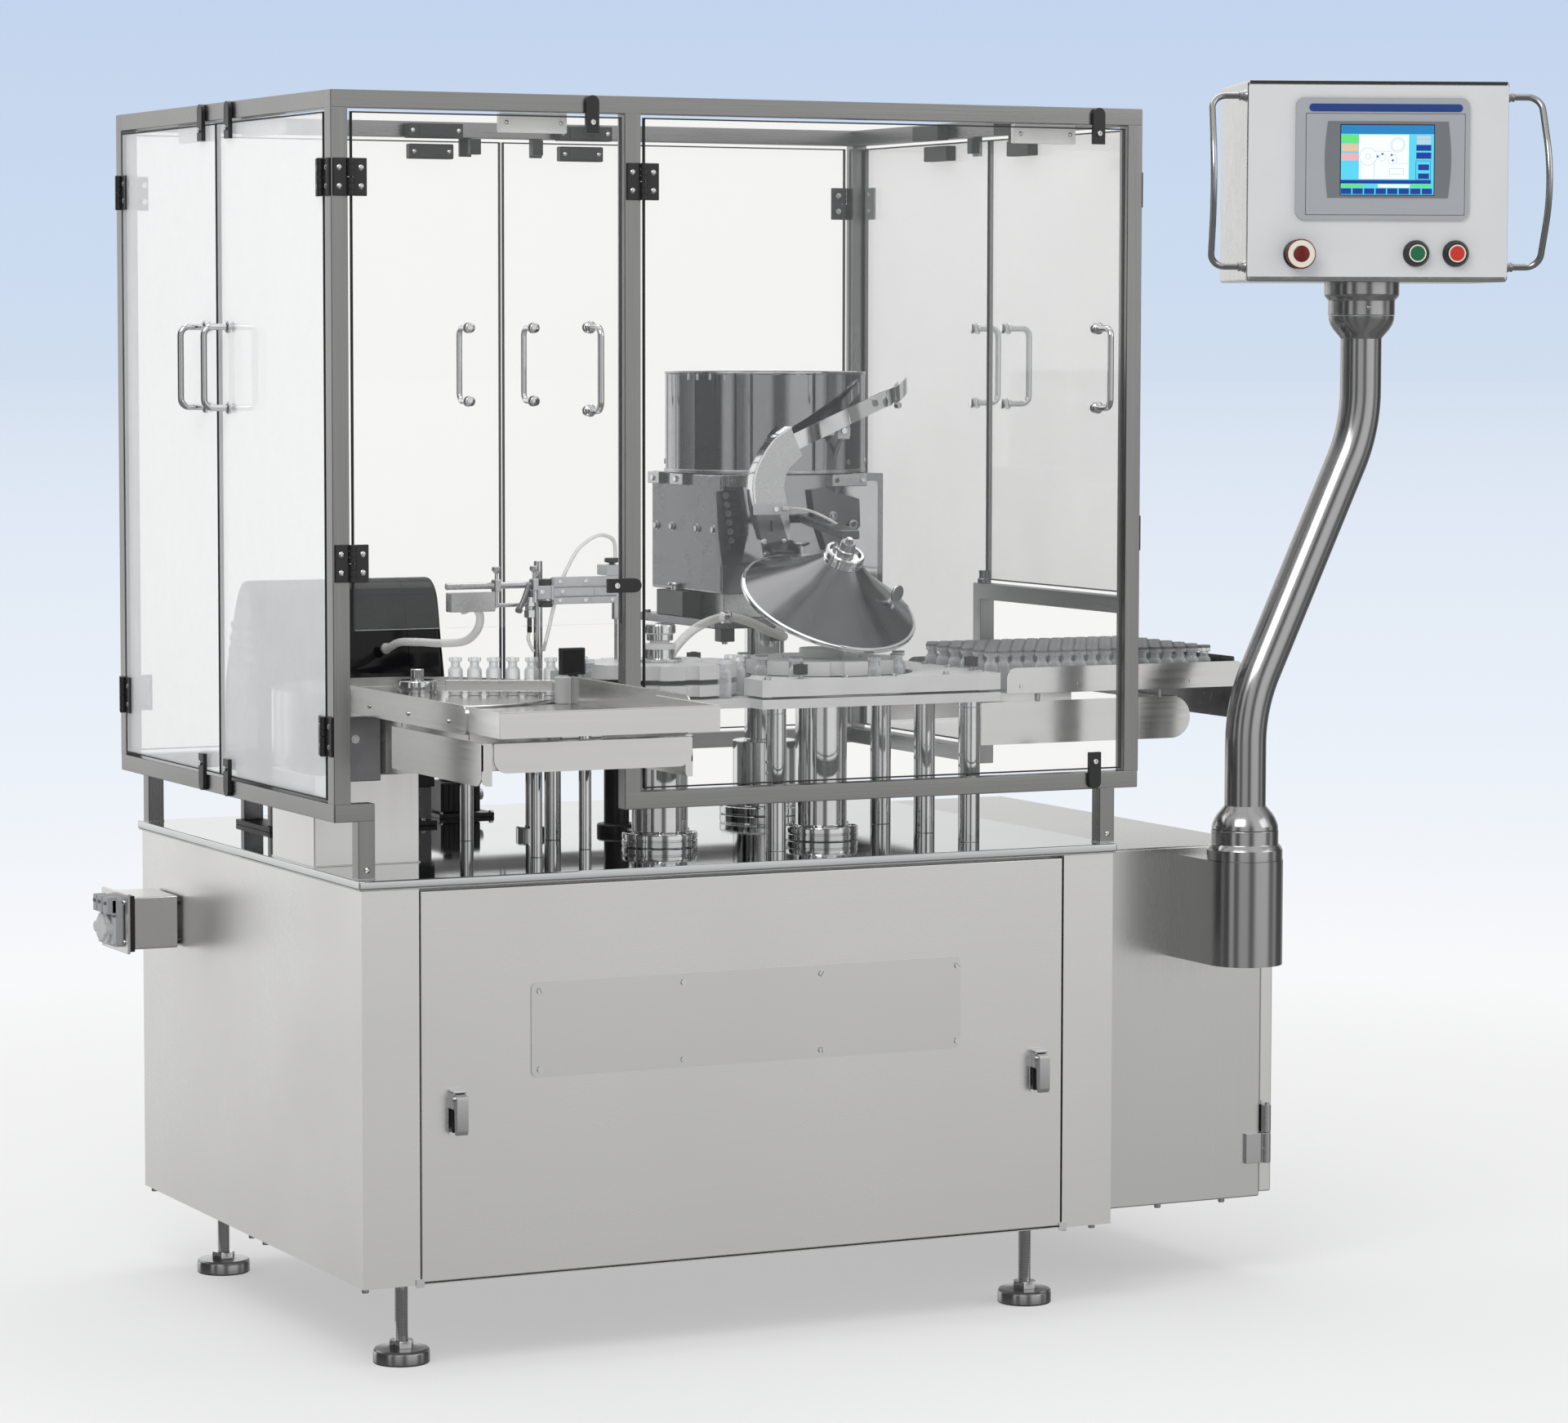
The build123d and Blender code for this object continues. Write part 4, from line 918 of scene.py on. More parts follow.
    # latch tabs over the frame
    for s, up in tabs:
        if up:
            tongue(k.use("black"), P(0, h, 0), s - 10, s + 10, 0.5, 6.5, z1 - 24, GZ1, "up", t3, n3)
            B(k, s - 10, s + 10, h, h + 0.8, z1 - 24, z1 - 2, 0.2)
            k.socket(P(s, h + 6.3, z1 - 8), n3, 4.0, 2.6, "chrome")
        else:
            tongue(k.use("black"), P(0, h, 0), s - 10, s + 10, 0.5, 6.5, GZ0 + 1, z0 + 26, "down", t3, n3)
            B(k, s - 10, s + 10, h, h + 0.8, z0 + 2, z0 + 26, 0.2)
            k.socket(P(s, h + 6.3, z0 + 12), n3, 4.0, 2.6, "chrome")
    if htab:
        s0, s1, zc = htab
        w = 10
        pts = [(s0, zc - 10), (s1 - w, zc - 10)] + [(s1 - w + w * math.sin(t), zc - w * math.cos(t)) for t in [math.pi * i / 12 for i in range(13)]] + [(s1 - w, zc + 10), (s0, zc + 10)]
        pts = [p for i, p in enumerate(pts) if i == 0 or (Vector(p) - Vector(pts[i - 1])).length > 0.05]
        T = Matrix((t3, Vector((0, 0, 1)), t3.cross(Vector((0, 0, 1))))).transposed().to_4x4()
        sg = 1 if T.col[2].to_3d().dot(n3) > 0 else -1
        T.translation = Vector(P(0, h, 0))
        k.use("black").prism(pts, sg * 0.5, sg * 6.5, "xy", r=1.0, T=T)
        B(k, s0, length - 2, h, h + 0.8, zc - 10, zc + 10, 0.2)
        k.socket(P(s0 + 14, h + 6.3, zc), n3, 4.2, 2.6, "chrome")
    k.done(name + "_door_hardware", body, name + "_door_fittings")


UP, LO, LOS = (1544.0, 1597.0), (758.0, 814.0), (1004.0, 1057.0)
F0, F1, S0, S1, HF, YM = GX0 + TB, GX1 - TB, GY0 + TB, GY1 - TB, 2.4, 490.0
XM = (F0 + F1) / 2 - 2.0
door("front_left", F0 + HF, GY0 - HO, (1, 0), (0, -1), MX - GAP - (F0 + HF), 936.0, DTOP, (UP, LOS), 359 - (F0 + HF), [(362 - (F0 + HF), True)], (385 - (F0 + HF), 438 - (F0 + HF), 991.0))
door("front_right", MX + TB + HF, GY0 - HO, (1, 0), (0, -1), F1 - GAP - (MX + TB + HF), DBOT, DTOP, (UP, LO), 1195 - (MX + TB + HF), [(1192.5 - (MX + TB + HF), True), (1192.5 - (MX + TB + HF), False)])
door("left_front", GX0 - HO, S0 + HF, (0, 1), (-1, 0), YM - 2.5 - (S0 + HF), DBOT, DTOP, (UP, LO), 438 - (S0 + HF), [(428 - (S0 + HF), True), (450 - (S0 + HF), False)])
door("left_rear", GX0 - HO, S1 - HF, (0, -1), (-1, 0), (S1 - HF) - (YM + 2.5), DBOT, DTOP, (UP, LO), (S1 - HF) - 541, [((S1 - HF) - 546, True), ((S1 - HF) - 560, False)])
door("back_left", F0 + HF, GY1 + HO, (1, 0), (0, 1), XM - 2.5 - (F0 + HF), DBOT, DTOP, (UP, LO), 560 - (F0 + HF), [(556 - (F0 + HF), True), (556 - (F0 + HF), False)])
door("back_right", F1 - HF, GY1 + HO, (-1, 0), (0, 1), (F1 - HF) - (XM + 2.5), DBOT, DTOP, (UP, LO), (F1 - HF) - 674, [((F1 - HF) - 680, True), ((F1 - HF) - 680, False)])
door("right_rear", GX1 + HO, S1 - HF, (0, -1), (1, 0), (S1 - HF) - (YM + 2.5), DBOT, DTOP, (UP, LO), (S1 - HF) - 541, [((S1 - HF) - 546, True), ((S1 - HF) - 560, False)], notch=((S1 - HF) - (IPY + TB + GAP), OUTZ + TB + GAP))
door("right_front", GX1 + HO, S0 + HF, (0, 1), (1, 0), YM - 2.5 - (S0 + HF), OUTZ + TB + GAP, DTOP, (UP, (1026.0, 1079.0)), 438 - (S0 + HF), [(428 - (S0 + HF), True)])
fixed.done("frame_hinge_leaves", "machine", "fixed_hinge_leaves")

def sweep(k, pts, outline):
    """Carries a closed outline of (sideways, upwards) points along a path."""
    P = [Vector(p) for p in pts]
    rings = []
    for i, p in enumerate(P):
        t = (P[min(i + 1, len(P) - 1)] - P[max(i - 1, 0)]).normalized()
        n = t.cross(Vector((0, 0, 1))).normalized()
        u = n.cross(t)
        rings.append([p + n * a + u * b for a, b in outline])
    k.loft(rings)


def arc(cx, cy, r, a0, a1, n):
    return [(cx + r * math.cos(math.radians(a0 + (a1 - a0) * i / n)), cy + r * math.sin(math.radians(a0 + (a1 - a0) * i / n))) for i in range(n + 1)]


# ------------------------------------------------------------------ door sensors under the top rails
k = Kit("black")


def sensor(k, c, d, length, tall=24, deep=20):
    """Door switch housing: body, two screws and a raised blank; c is its low corner, d the axis it runs along."""
    T = Matrix.Translation(Vector(c)) if d == "x" else Matrix.Translation(Vector(c)) @ Matrix.Rotation(math.radians(90), 4, "Z")
    k.use("black").box(0, length, 0, deep, 0, tall, 2.0, 2, T)
    k.box(length * 0.2, length * 0.8, -1.2, 0.5, 3, tall - 3, 0.7, 2, T)
    for x in (8, length - 8):
        p = T @ Vector((x, 0, tall / 2))
        k.dome(p, T.to_3x3() @ Vector((0, -1, 0)), 3.6, 1.6, "chrome")


for x in (438.0, 700.0):
    sensor(k, (x, 908.4, 1664.5), "x", 95)
for y in (314.0, 590.0):
    sensor(k, (1245.6, y, 1664.5), "y", 90)
k.done("door_sensor_bodies", "machine", "interlock_switches")
k = Kit("black")
sensor(k, (447, 925, 1632), "x", 76, 24, 18)
k.done("back_left_door_sensor", "back_left_guard_door")
k = Kit("black")
sensor(k, (710, 925, 1632), "x", 76, 24, 18)
k.done("back_right_door_sensor", "back_right_guard_door")
k = Kit("black")
sensor(k, (1262, 323, 1632), "y", 72, 24, 18)
k.done("right_front_door_sensor", "right_front_guard_door")
k = Kit("black")
sensor(k, (1262, 595, 1632), "y", 80, 24, 18)
k.done("right_rear_door_sensor", "right_rear_guard_door")
k = Kit("spacer")
for x0, x1, y in ((232, 336, 42), (1065, 1170, 42)):
    k.use("spacer").box(x0, x1, y - 1, y + 12, 1638, 1666.3, 1.6)
    for x in (x0 + 10, x1 - 10):
        k.dome((x, y - 1, 1652), (0, -1, 0), 3.4, 1.5, "chrome")
for y0, y1 in ((290, 450), (588, 732)):
    k.use("spacer").box(-9, 2, y0, y1, 1640, 1666.3, 1.6)
    for y in (y0 + 10, y1 - 10):
        k.dome((2, y, 1653), (1, 0, 0), 3.4, 1.5, "chrome")
for x, y in ((557.8, 921), (666.5, 921)):
    k.use("black").box(x - 9, x + 9, y - 5, y + 9, 1640, 1665, 1.2)
k.box(1238, 1252, 497, 514, 1640, 1665, 1.2)
k.done("door_switch_spacers", "machine")

# ------------------------------------------------------------------ infeed
TX0, TX1, TYF, TX, TY, TR = 74.0, 403.0, -330.0, 238.0, 381.0, 213.0
k = Kit("tray_y")
h = math.degrees(math.acos(185.0 / 218.0))
floor_out = [(TX0 + 0.4, TYF + 0.4), (TX1 - 0.4, TYF + 0.4), (TX1 - 0.4, 196)] + arc(TX, TY, TR + 5, -90 + h, -90 - h, 30) + [(TX0 + 0.4, 196)]
k.prism(floor_out, 806, 808, "xy", r=0.3, seg=1)
k.use("tray").prism(rrect(TX0, TX1, 806, 841, (2.5, 2.5, 1.0, 1.0)), TYF, TYF + 2, "xz", r=0.6)
k.use("tray_y").box(TX0, TX0 + 2, TYF + 0.4, -120, 806.5, 841, 0.6)
k.box(TX1 - 2, TX1, TYF + 0.4, -120, 806.5, 841, 0.6)
# small rolled hem on the lips
for x in (TX0 + 1, TX1 - 1):
    k.tube([(x, TYF + 1, 841), (x, -121, 841)], 1.15, 10)
k.use("tray").tube([(TX0 + 1, TYF + 1, 841), (TX1 - 1, TYF + 1, 841)], 1.15, 10)
k.prism(rrect(92, TX1 - 12, 753, 794, (20, 20, 2, 2), 7), -265, -263, "xz", r=0.6)
k.box(92, TX1 - 12, -263.5, -240, 792, 794, 0.6)
k.use("tray_y").prism([(y, z) for y, z in rrect(-265, 69, 735, 795, (22, 2, 2, 2), 7)], TX0, TX0 + 2, "yz", r=0.6)
k.use("tray").prism(rrect(TX0, TX0 + 15, 736, 795, (10, 1, 1, 1), 6), -265, -263, "xz", r=0.5)
k.use("tray_y").prism([(y, z) for y, z in rrect(-240, 69, 735, 795, (22, 2, 2, 2), 7)], TX1 - 2, TX1, "yz", r=0.6)
k.use("tray").prism(rrect(TX1 - 11, TX1, 736, 795, (6, 1, 1, 1), 6), -240, -238, "xz", r=0.5)
for y in (-200, -60, 50):
    k.hexhead((TX0 + 8, y, 806), (0, 0, -1), 4.2, 3.6, "satin")
    k.cyl((TX0 + 8, y, 795), (0, 0, 1), (1), 11, 0, 10)
    k.hexhead((TX1 - 8, y, 806), (0, 0, -1), 4.2, 3.6, "satin")
    k.cyl((TX1 - 8, y, 795), (0, 0, 1), (1), 11, 0, 10)
# table brackets below the tray
k.use("satin").box(110, 370, 20, 50, 796, 806, 1.2)
k.box(120, 136, 50, 150, 796, 806, 1.2)
k.box(340, 356, 50, 150, 796, 806, 1.2)
k.done("infeed_tray_sheet", "machine", "infeed_tray")

k = Kit("tray_y")
k.prism([(y, z) for y, z in rrect(-214, 234, 803, 843, (6, 2, 2, 14), 7)], TX0 - 2.5, TX0 - 0.1, "yz", r=0.7)
k.prism([(y, z) for y, z in rrect(-231, 185, 806, 848, (1, 1, 4, 16), 7)], TX1 + 0.1, TX1 + 2.5, "yz", r=0.7)
k.use("satin").tube([(TX1 + 1.3, -216, 848.2), (TX1 + 1.3, 182, 848.2)], 1.6, 10)
for y in (-150, 0, 150):
    k.socket((TX1 + 2.4, y, 818), (1, 0, 0), 3.2, 2.4, "chrome")
    k.socket((TX0 - 2.4, y, 818), (-1, 0, 0), 3.2, 2.4, "chrome")
k.use("roller").lathe((TX1 - 6, 200, 808), (0, 0, 1), [(0, 0), (11.2, 0), (12.5, 1.3), (12.5, 38.6), (11.2, 40), (0, 40)], 36)
k.use("chrome").cyl((TX1 - 6, 200, 811), (0, 0, 1), 3.4, 36.6, 0.4, 18)
k.done("infeed_strips_and_roller", "machine", "infeed_side_rails")

# turntable
k = Kit("tray")
k.lathe((TX, TY, 806), (0, 0, 1), [(0, 0), (TR - 1.2, 0), (TR, 1.2), (TR, 4.8), (TR - 1.2, 6), (30, 6), (30, 5.9), (0, 5.9)], 128)
k.use("chrome").lathe((TX, TY, 811.8), (0, 0, 1), [(0, 0), (28.4, 0), (29, 0.8), (29, 5.6), (27.4, 6.4), (27.4, 8), (29, 8.8), (29, 21), (27.6, 23.4), (25.5, 24.2), (11.2, 24.2), (10, 25), (10, 40), (8.8, 41.2), (0, 41.2)], 56)
k.use("satin").cyl((TX, TY, 803.3), (0, 0, 1), 30, 3.2, 0.4, 40)
for a in (20, 140, 260):
    k.socket((TX + 19 * math.cos(math.radians(a)), TY + 19 * math.sin(math.radians(a)), 834.8), (0, 0, 1), 3.0, 1.2, "satin")
k.done("turntable_disc", "infeed_disc", "infeed_disc")

k = Kit("chrome")
a, b = Vector((279, 370, 827)), Vector((447, 290, 827))
d = (b - a).normalized()
T = Matrix((d, Vector((-d.y, d.x, 0)), Vector((0, 0, 1)))).transposed().to_4x4()
T.translation = (a + b) / 2
L = (b - a).length
k.use("tray").box(-L / 2, L / 2, -1.5, 1.5, -8.5, 8.5, 0.9, 2, T)
k.use("satin").box(L / 2 - 26, L / 2 - 4, -7, -1.3, -8.4, 6.5, 0.8, 2, T)
k.use("chrome").box(440, 455, 270, 287, 811, 818.5, 1.0)
k.use("black").box(418, 457, 254, 266, 846, 886, 1.2)
k.box(432, 446, 256, 264, 811, 846.5, 0.8)
k.use("gloss_black").box(421, 454, 253.4, 254.4, 849, 883, 0.3)
k.done("infeed_guide_and_sensor", "machine", "infeed_guides")

k = Kit("sheet_z")
k.box(5, 168, 200, 375, 583, 715, 1.8, 3)
k.use("sheet_y").box(3.8, 169.2, 198.8, 376.2, 583, 584.6, 0.4)
k.use("dark_steel").box(40, 104, 188.6, 199.4, 706, 800, 1.2)
k.box(46, 98, 199, 206, 712, 716, 0.6)
k.use("satin").cyl((64.7, 188.8, 767.8), (0, -1, 0), 6.6, 1.2, 0.4, 24)
k.hexhead((64.7, 187.8, 767.8), (0, -1, 0), 4.4, 1.7)
k.done("infeed_pedestal_box", "machine", "infeed_pedestal")

# ------------------------------------------------------------------ filling pump under its cowl
sec = [(688, 672), (688, 718), (691, 805), (699, 845), (708, 880), (720, 935), (730, 955), (744, 967), (757, 970.6), (770, 967), (783, 955), (795, 936), (818, 889), (838, 840), (850, 795), (854, 705), (854, 672)]
lo_part = [(y, z) for y, z in sec]
body_pts = spl([(0, y, z) for y, z in sec[1:-1]], 4)
outline = [(688, 672)] + [(p.y, p.z) for p in body_pts] + [(854, 672)]
cyc, czc = 771, 800


def shrink(o, s):
    return [(cyc + (y - cyc) * (1 - s / 83.0), z if z < 673 else min(z, 672 + (z - 672) * (1 - s / 299.0))) for y, z in o]


k = Kit("gloss_black")
k.loft([[(x, y, z) for y, z in shrink(outline, s)] for x, s in ((99.8, 8), (101.2, 4), (104, 1.4), (108, 0.2), (402, 0.2), (407, 1.4), (410, 4), (411.4, 8))])
# raised joint band
for x0, x1 in ((352, 358),):
    k.loft([[(x, y, z) for y, z in shrink(outline, s)] for x, s in ((x0, 0.4), (x0 + 0.8, -1.9), (x1 - 0.8, -1.9), (x1, 0.4))])
for z in (900, 880.5, 861, 841.5):
    y0, y1 = 722, 806 + (900 - z) * 0.25
    k.use("gloss_black").loft([[(x, y, zz) for y, zz in rrect(y0 + q, y1 - q, z - 6 + q, z + 6 - q, 3, 3)] for x, q in ((101, 0), (97.6, 0.3), (95.2, 2.2))])
    k.use("rubber").box(94.9, 96.5, y0 + 5, y1 - 5, z - 5.2, z - 2.6, 0.4)
# base frame, motor and feet
k.use("black").box(116, 395, 700, 842, 643, 672.5, 2.0)
for x0, x1 in ((116, 160), (350, 395)):
    k.use("black").box(x0, x1, 690, 845, 583, 591, 1.2)
    k.use("dark_steel").box(x0 + 6, x1 - 6, 700, 716, 591, 643, 1.0)
    k.box(x0 + 6, x1 - 6, 822, 838, 591, 643, 1.0)
    for y in (696, 839):
        k.hexhead(((x0 + x1) / 2, y, 591), (0, 0, 1), 5, 3.6, "chrome")
k.use("black").box(436, 530, 781, 859, 583, 590, 1.2)
k.box(442, 510, 790, 850, 591, 640, 3.0)
for i in range(7):
    k.box(446 + i * 9, 449.5 + i * 9, 788.4, 851.6, 594, 637, 0.6)
k.use("dark_steel").lathe((476, 820, 640), (0, 0, 1), [(0, 0), (24, 0), (24, 3), (18, 6), (18, 12), (0, 12)], 32)
k.use("satin").cyl((510, 820, 616), (1, 0, 0), 9, 14, 1.0, 24)
for x, y in ((440, 786), (440, 854), (526, 786), (526, 854)):
    k.hexhead((x, y, 590), (0, 0, 1), 4, 3, "chrome")
k.done("filling_pump_cowl", "machine", "filling_pump")

# ------------------------------------------------------------------ columns and posts on the table
k = Kit("chrome")
for x, y, rf, z1, r, zt in ((584.3, 266, 57, 605, 42.5, 796), (849.7, 253, 56.5, 605, 39.4, 796), (951, 661, 73, 612, 51, 701)):
    h = z1 - 583
    k.lathe((x, y, 583), (0, 0, 1), [(0, 0), (rf - 1.5, 0), (rf, 1.8), (rf, h * 0.42), (rf - 1.1, h * 0.47), (rf - 1.1, h * 0.52), (rf, h * 0.57), (rf, h - 3.4), (rf - 1.0, h - 1.2), (rf - 3.4, h), (r + 3.0, h), (r + 0.9, h + 0.9), (r, h + 3), (r, zt - 583 - 1.4), (r - 1.4, zt - 583), (0, zt - 583)], 72)
    for a in range(0, 360, 60):
        q = (rf + r) / 2
        k.socket((x + q * math.cos(math.radians(a + 10)), y + q * math.sin(math.radians(a + 10)), z1 - 0.2), (0, 0, 1), 3.6, 2.2)
k.lathe((951, 661, 700), (0, 0, 1), [(0, 0), (33.5, 0), (33.5, 3), (32, 4.5), (32, 190.8), (0, 190.8)], 56)
k.lathe((468.4, 490, 583), (0, 0, 1), [(0, 0), (22.6, 0), (22.6, 12), (21, 14), (9.4, 14), (8, 16), (8, 213.8), (0, 213.8)], 36)
k.use("black").lathe((610.6, 484, 583), (0, 0, 1), [(0, 0), (30.6, 0), (30.6, 11), (28.8, 13), (21, 13), (19.6, 15), (19.6, 213.8), (0, 213.8)], 44)
k.done("drive_column_set", "machine", "drive_columns")
k = Kit("chrome")
for x, y, r, z in ((348.8, 457.1, 10.2, 715), (350.3, 192.6, 9.2, 714.8), (472.4, 414.0, 12.8, 796.8), (460.9, 265.1, 9.5, 796.8), (710.4, 124.6, 15.2, 796.8), (1039.7, 423.4, 16.3, 796.8), (1037.4, 270.7, 16.4, 796.8), (1034.7, 119.4, 16.5, 796.8)):
    h = z - 583
    k.use("chrome").lathe((x, y, 583), (0, 0, 1), [(0, 0), (r - 0.6, 0), (r, 0.8), (r, h - 9), (r - 0.5, h - 8.4), (r - 0.5, h - 7.8), (r, h - 7.2), (r, h), (0, h)], 40)
    if r > 15:
        for zz in (700, 716):
            k.socket((x - r * 0.97, y - r * 0.1, zz), (-1, -0.1, 0), 2.6, 2.2, "satin")
k.use("satin")
for x, y in ((1060, 130), (1060, 400), (700, 420), (700, 130)):
    k.cyl((x, y, 811), (0, 0, 1), 9, 4.2, 0.4, 28)
    k.socket((x, y, 840), (0, 0, 1), 5.0, 3.0, "chrome")
k.done("support_post_set", "machine", "support_posts")

# ------------------------------------------------------------------ transfer wheels
SWX, SWY, SWR, CDX, CDY, CDR, PR = 584.3, 266.0, 118.0, 849.7, 253.0, 120.0, 11.6


def pockets(cx, cy, r, n, rp, rot, ao=5, ap=10):
    ph = 2 * math.asin(rp / (2 * r))
    be = math.acos(r * (1 - math.cos(ph)) / rp)
    out = []
    for i in range(n):
        a = math.radians(rot) + 2 * math.pi * i / n
        px, py = cx + r * math.cos(a), cy + r * math.sin(a)
        for j in range(ap + 1):
            t = a + math.pi + be - 2 * be * j / ap
            out.append((px + rp * math.cos(t), py + rp * math.sin(t)))
        a2 = a + 2 * math.pi / n
        for j in range(1, ao):
            t = (a + ph) + (a2 - ph - a - ph) * j / ao
            out.append((cx + r * math.cos(t), cy + r * math.sin(t)))
    return out


def vial(k, x, y, z, full=0.42, stopper=False, seg=16):
    """Small injection vial: walls, rounded heel, shoulder, neck and flange."""
    k.use("vial").lathe((x, y, z), (0, 0, 1), [(0, 0.2), (9.2, 0), (10.6, 0.9), (11, 2.6), (11, 36), (10.2, 39.6), (7.6, 42.4), (6.7, 44.4), (6.7, 49.6), (9.4, 50.8), (9.9, 52), (9.9, 55.2), (9.0, 56.8), (6.2, 57), (5.4, 56), (5.2, 44), (6.4, 41.6), (9.2, 38.6), (9.8, 35.6), (9.8, 3.4), (8.8, 2.0), (0, 1.8)], seg)
    if stopper:
        k.use("stopper").lathe((x, y, z + 56.2), (0, 0, 1), [(0, 0), (9.4, 0), (9.7, 0.8), (9.7, 3.4), (8.9, 4.4), (3.6, 4.5), (3.0, 3.8), (0, 3.8)], seg)


for name, cx, cy, r, rot, body, node_name in (("starwheel", SWX, SWY, SWR, 0, "starwheel", "starwheel"), ("capping_wheel", CDX, CDY, CDR, 15, "capping_dial", "capping_dial")):
    k = Kit("white")
    k.prism(pockets(cx, cy, r, 12, PR, rot), 815, 832, "xy", r=1.1, seg=2, ang=0.9)
    k.prism(pockets(cx, cy, r, 12, PR, rot), 840, 861, "xy", r=1.1, seg=2, ang=0.9)
    k.use("satin").cyl((cx, cy, 797.4), (0, 0, 1), 30, 18, 0.5, 48)
    k.cyl((cx, cy, 831.9), (0, 0, 1), 34, 8.2, 0.4, 48)
    if node_name == "starwheel":
        k.use("chrome").lathe((cx, cy, 861), (0, 0, 1), [(0, 0), (33, 0), (34, 1), (34, 4.4), (32.6, 5.2), (23.5, 5.2), (23, 6), (23, 19), (0, 19)], 56)
        k.use("white").lathe((cx, cy, 880), (0, 0, 1), [(0, 0), (23.2, 0), (24, 0.8), (24, 7.4), (23, 8.4), (0, 8.4)], 56)
        k.use("spacer").lathe((cx, cy, 888.2), (0, 0, 1), [(0, 0), (15, 0), (15, 5), (0, 5)], 40)
        k.use("chrome").lathe((cx, cy, 893), (0, 0, 1), [(0, 0), (19.4, 0), (20.4, 1), (20.4, 9.6), (22.8, 10.2), (24, 11.8), (24, 21.4), (22.4, 24.6), (19.4, 25.8), (0, 25.8)], 56)
    else:
        k.use("white").cyl((cx, cy, 861), (0, 0, 1), 34, 15, 1.4, 56)
        for a in range(0, 360, 90):
            k.socket((cx + 22 * math.cos(math.radians(a)), cy + 22 * math.sin(math.radians(a)), 873.4), (0, 0, 1), 4, 2.4, "chrome")
    for a in range(30, 390, 60):
        k.socket((cx + 60 * math.cos(math.radians(a)), cy + 60 * math.sin(math.radians(a)), 860.6), (0, 0, 1), 4, 2.2, "chrome")
    k.done(name + "_discs", body, node_name)
    k = Kit("vial")
    for i in range(12):
        a = math.radians(rot + 30 * i)
        ax = math.degrees(a) % 360
        if node_name == "starwheel" and ax in (180, 210, 240, 150, 330, 0, 300) or node_name == "capping_dial" and ax in (195, 225, 285, 315, 345, 15, 45, 255, 165):
            vial(k, cx + (r + 0.3) * math.cos(a), cy + (r + 0.3) * math.sin(a), 811.4, stopper=False)
            if node_name == "capping_dial":
                k.use("stopper").lathe((cx + (r + 0.3) * math.cos(a), cy + (r + 0.3) * math.sin(a), 867.4), (0, 0, 1), [(0, 0), (9.4, 0), (9.7, 0.8), (9.7, 2.2), (0, 2.6)], 16)
    k.done(name + "_vials", body)

# vials waiting on the turntable, in a row along the guide
k = Kit("vial")
a, b = Vector((300, 372)), Vector((428, 309))
for i in range(6):
    p = a.lerp(b, i / 5)
    vial(k, p.x - 2, p.y + 4, 812.1)
k.done("turntable_vials", "infeed_disc")

# knobs, clamps and screws on the guide plates
k = Kit("black")


def lobed(k, x, y, z, r=11.5, h=15, lobes=5, stem=6):
    pts = []
    for i in range(lobes * 8):
        t = 2 * math.pi * i / (lobes * 8)
        q = r * (0.88 + 0.12 * math.cos(lobes * t))
        pts.append((x + q * math.cos(t), y + q * math.sin(t)))
    k.use("satin").cyl((x, y, z), (0, 0, 1), 4.2, stem + 1, 0.3, 20)
    k.use("black").prism(pts, z + stem, z + stem + h, "xy", r=1.6, seg=2, ang=0.9)
    k.cyl((x, y, z + stem + h - 0.2), (0, 0, 1), r * 0.45, 1.4, 0.5, 24)


for x, y in ((721, 437), (748, 118), (1066, 172), (1010, 426)):
    lobed(k, x, y, 840)
for x, y in ((690, 114), (820, 110), (900, 110), (990, 112), (1068, 250), (1068, 330), (1050, 430), (880, 430), (800, 430)):
    k.use("satin").cyl((x, y, 840), (0, 0, 1), 6.5, 0.8, 0.3, 24)
    k.socket((x, y, 840.5), (0, 0, 1), 4.2, 3.6, "chrome")
k.use("satin").box(690, 716, 408, 432, 811, 815.2, 0.4)
for x in (505, 560, 640):
    k.socket((x, 432, 840), (0, 0, 1), 4.2, 3.6, "chrome")
k.done("guide_plate_knobs", "machine")

# ------------------------------------------------------------------ outfeed
k = Kit("tray")
k.box(1084, 1499, 113, 438, 806, 808, 0.4)
k.prism(rrect(1095, 1514, 807, 846, (1.5, 12, 12, 16), 7), 111, 113, "xz", r=0.7)
k.prism(rrect(1095, 1500, 807, 844, (1.5, 1.5, 4, 12), 6), 436, 438, "xz", r=0.7)
k.use("tray").prism(rrect(1054, 1422.5, 729, 794, (2, 32.4, 32.4, 2), 12), 117, 119, "xz", r=0.6)
k.use("dark_steel").prism([(y, z) for y, z in rrect(113, 438, 757, 853, (3, 3, 3, 3))], 1498, 1500, "yz", r=0.6)
k.use("satin")
for x in (1152, 1368):
    k.cyl((x, 118, 793.4), (0, 0, 1), 4, 13, 0.4, 20)
    k.cyl((x, 430, 793.4), (0, 0, 1), 4, 13, 0.4, 20)
k.use("tray").box(1054, 1390, 434, 436, 745, 794, 0.6)
k.use("satin").box(1060, 1100, 119, 434, 786, 794, 1.0)
k.box(1380, 1400, 119, 434, 786, 794, 1.0)
for x in (1120, 1220, 1320, 1420):
    k.socket((x, 111.2, 818), (0, -1, 0), 3.0, 2.0, "chrome")
k.done("outfeed_tray_sheet", "machine", "outfeed_tray")
k = Kit("vial")
q = 0
for row in range(14):
    y = 427 - row * 19.4 - 11
    if y < 126:
        break
    x = 1106 + (11.2 if row % 2 else 0)
    while x < 1486:
        left = 1090 + max(0.0, (y - 250)) * 0.1
        if x > left and not (row > 12 and x < 1180):
            jx, jy = random.uniform(-0.5, 0.5), random.uniform(-0.4, 0.4)
            vial(k, x + jx, y + jy, 808.1, stopper=True, seg=12)
        x += 22.4
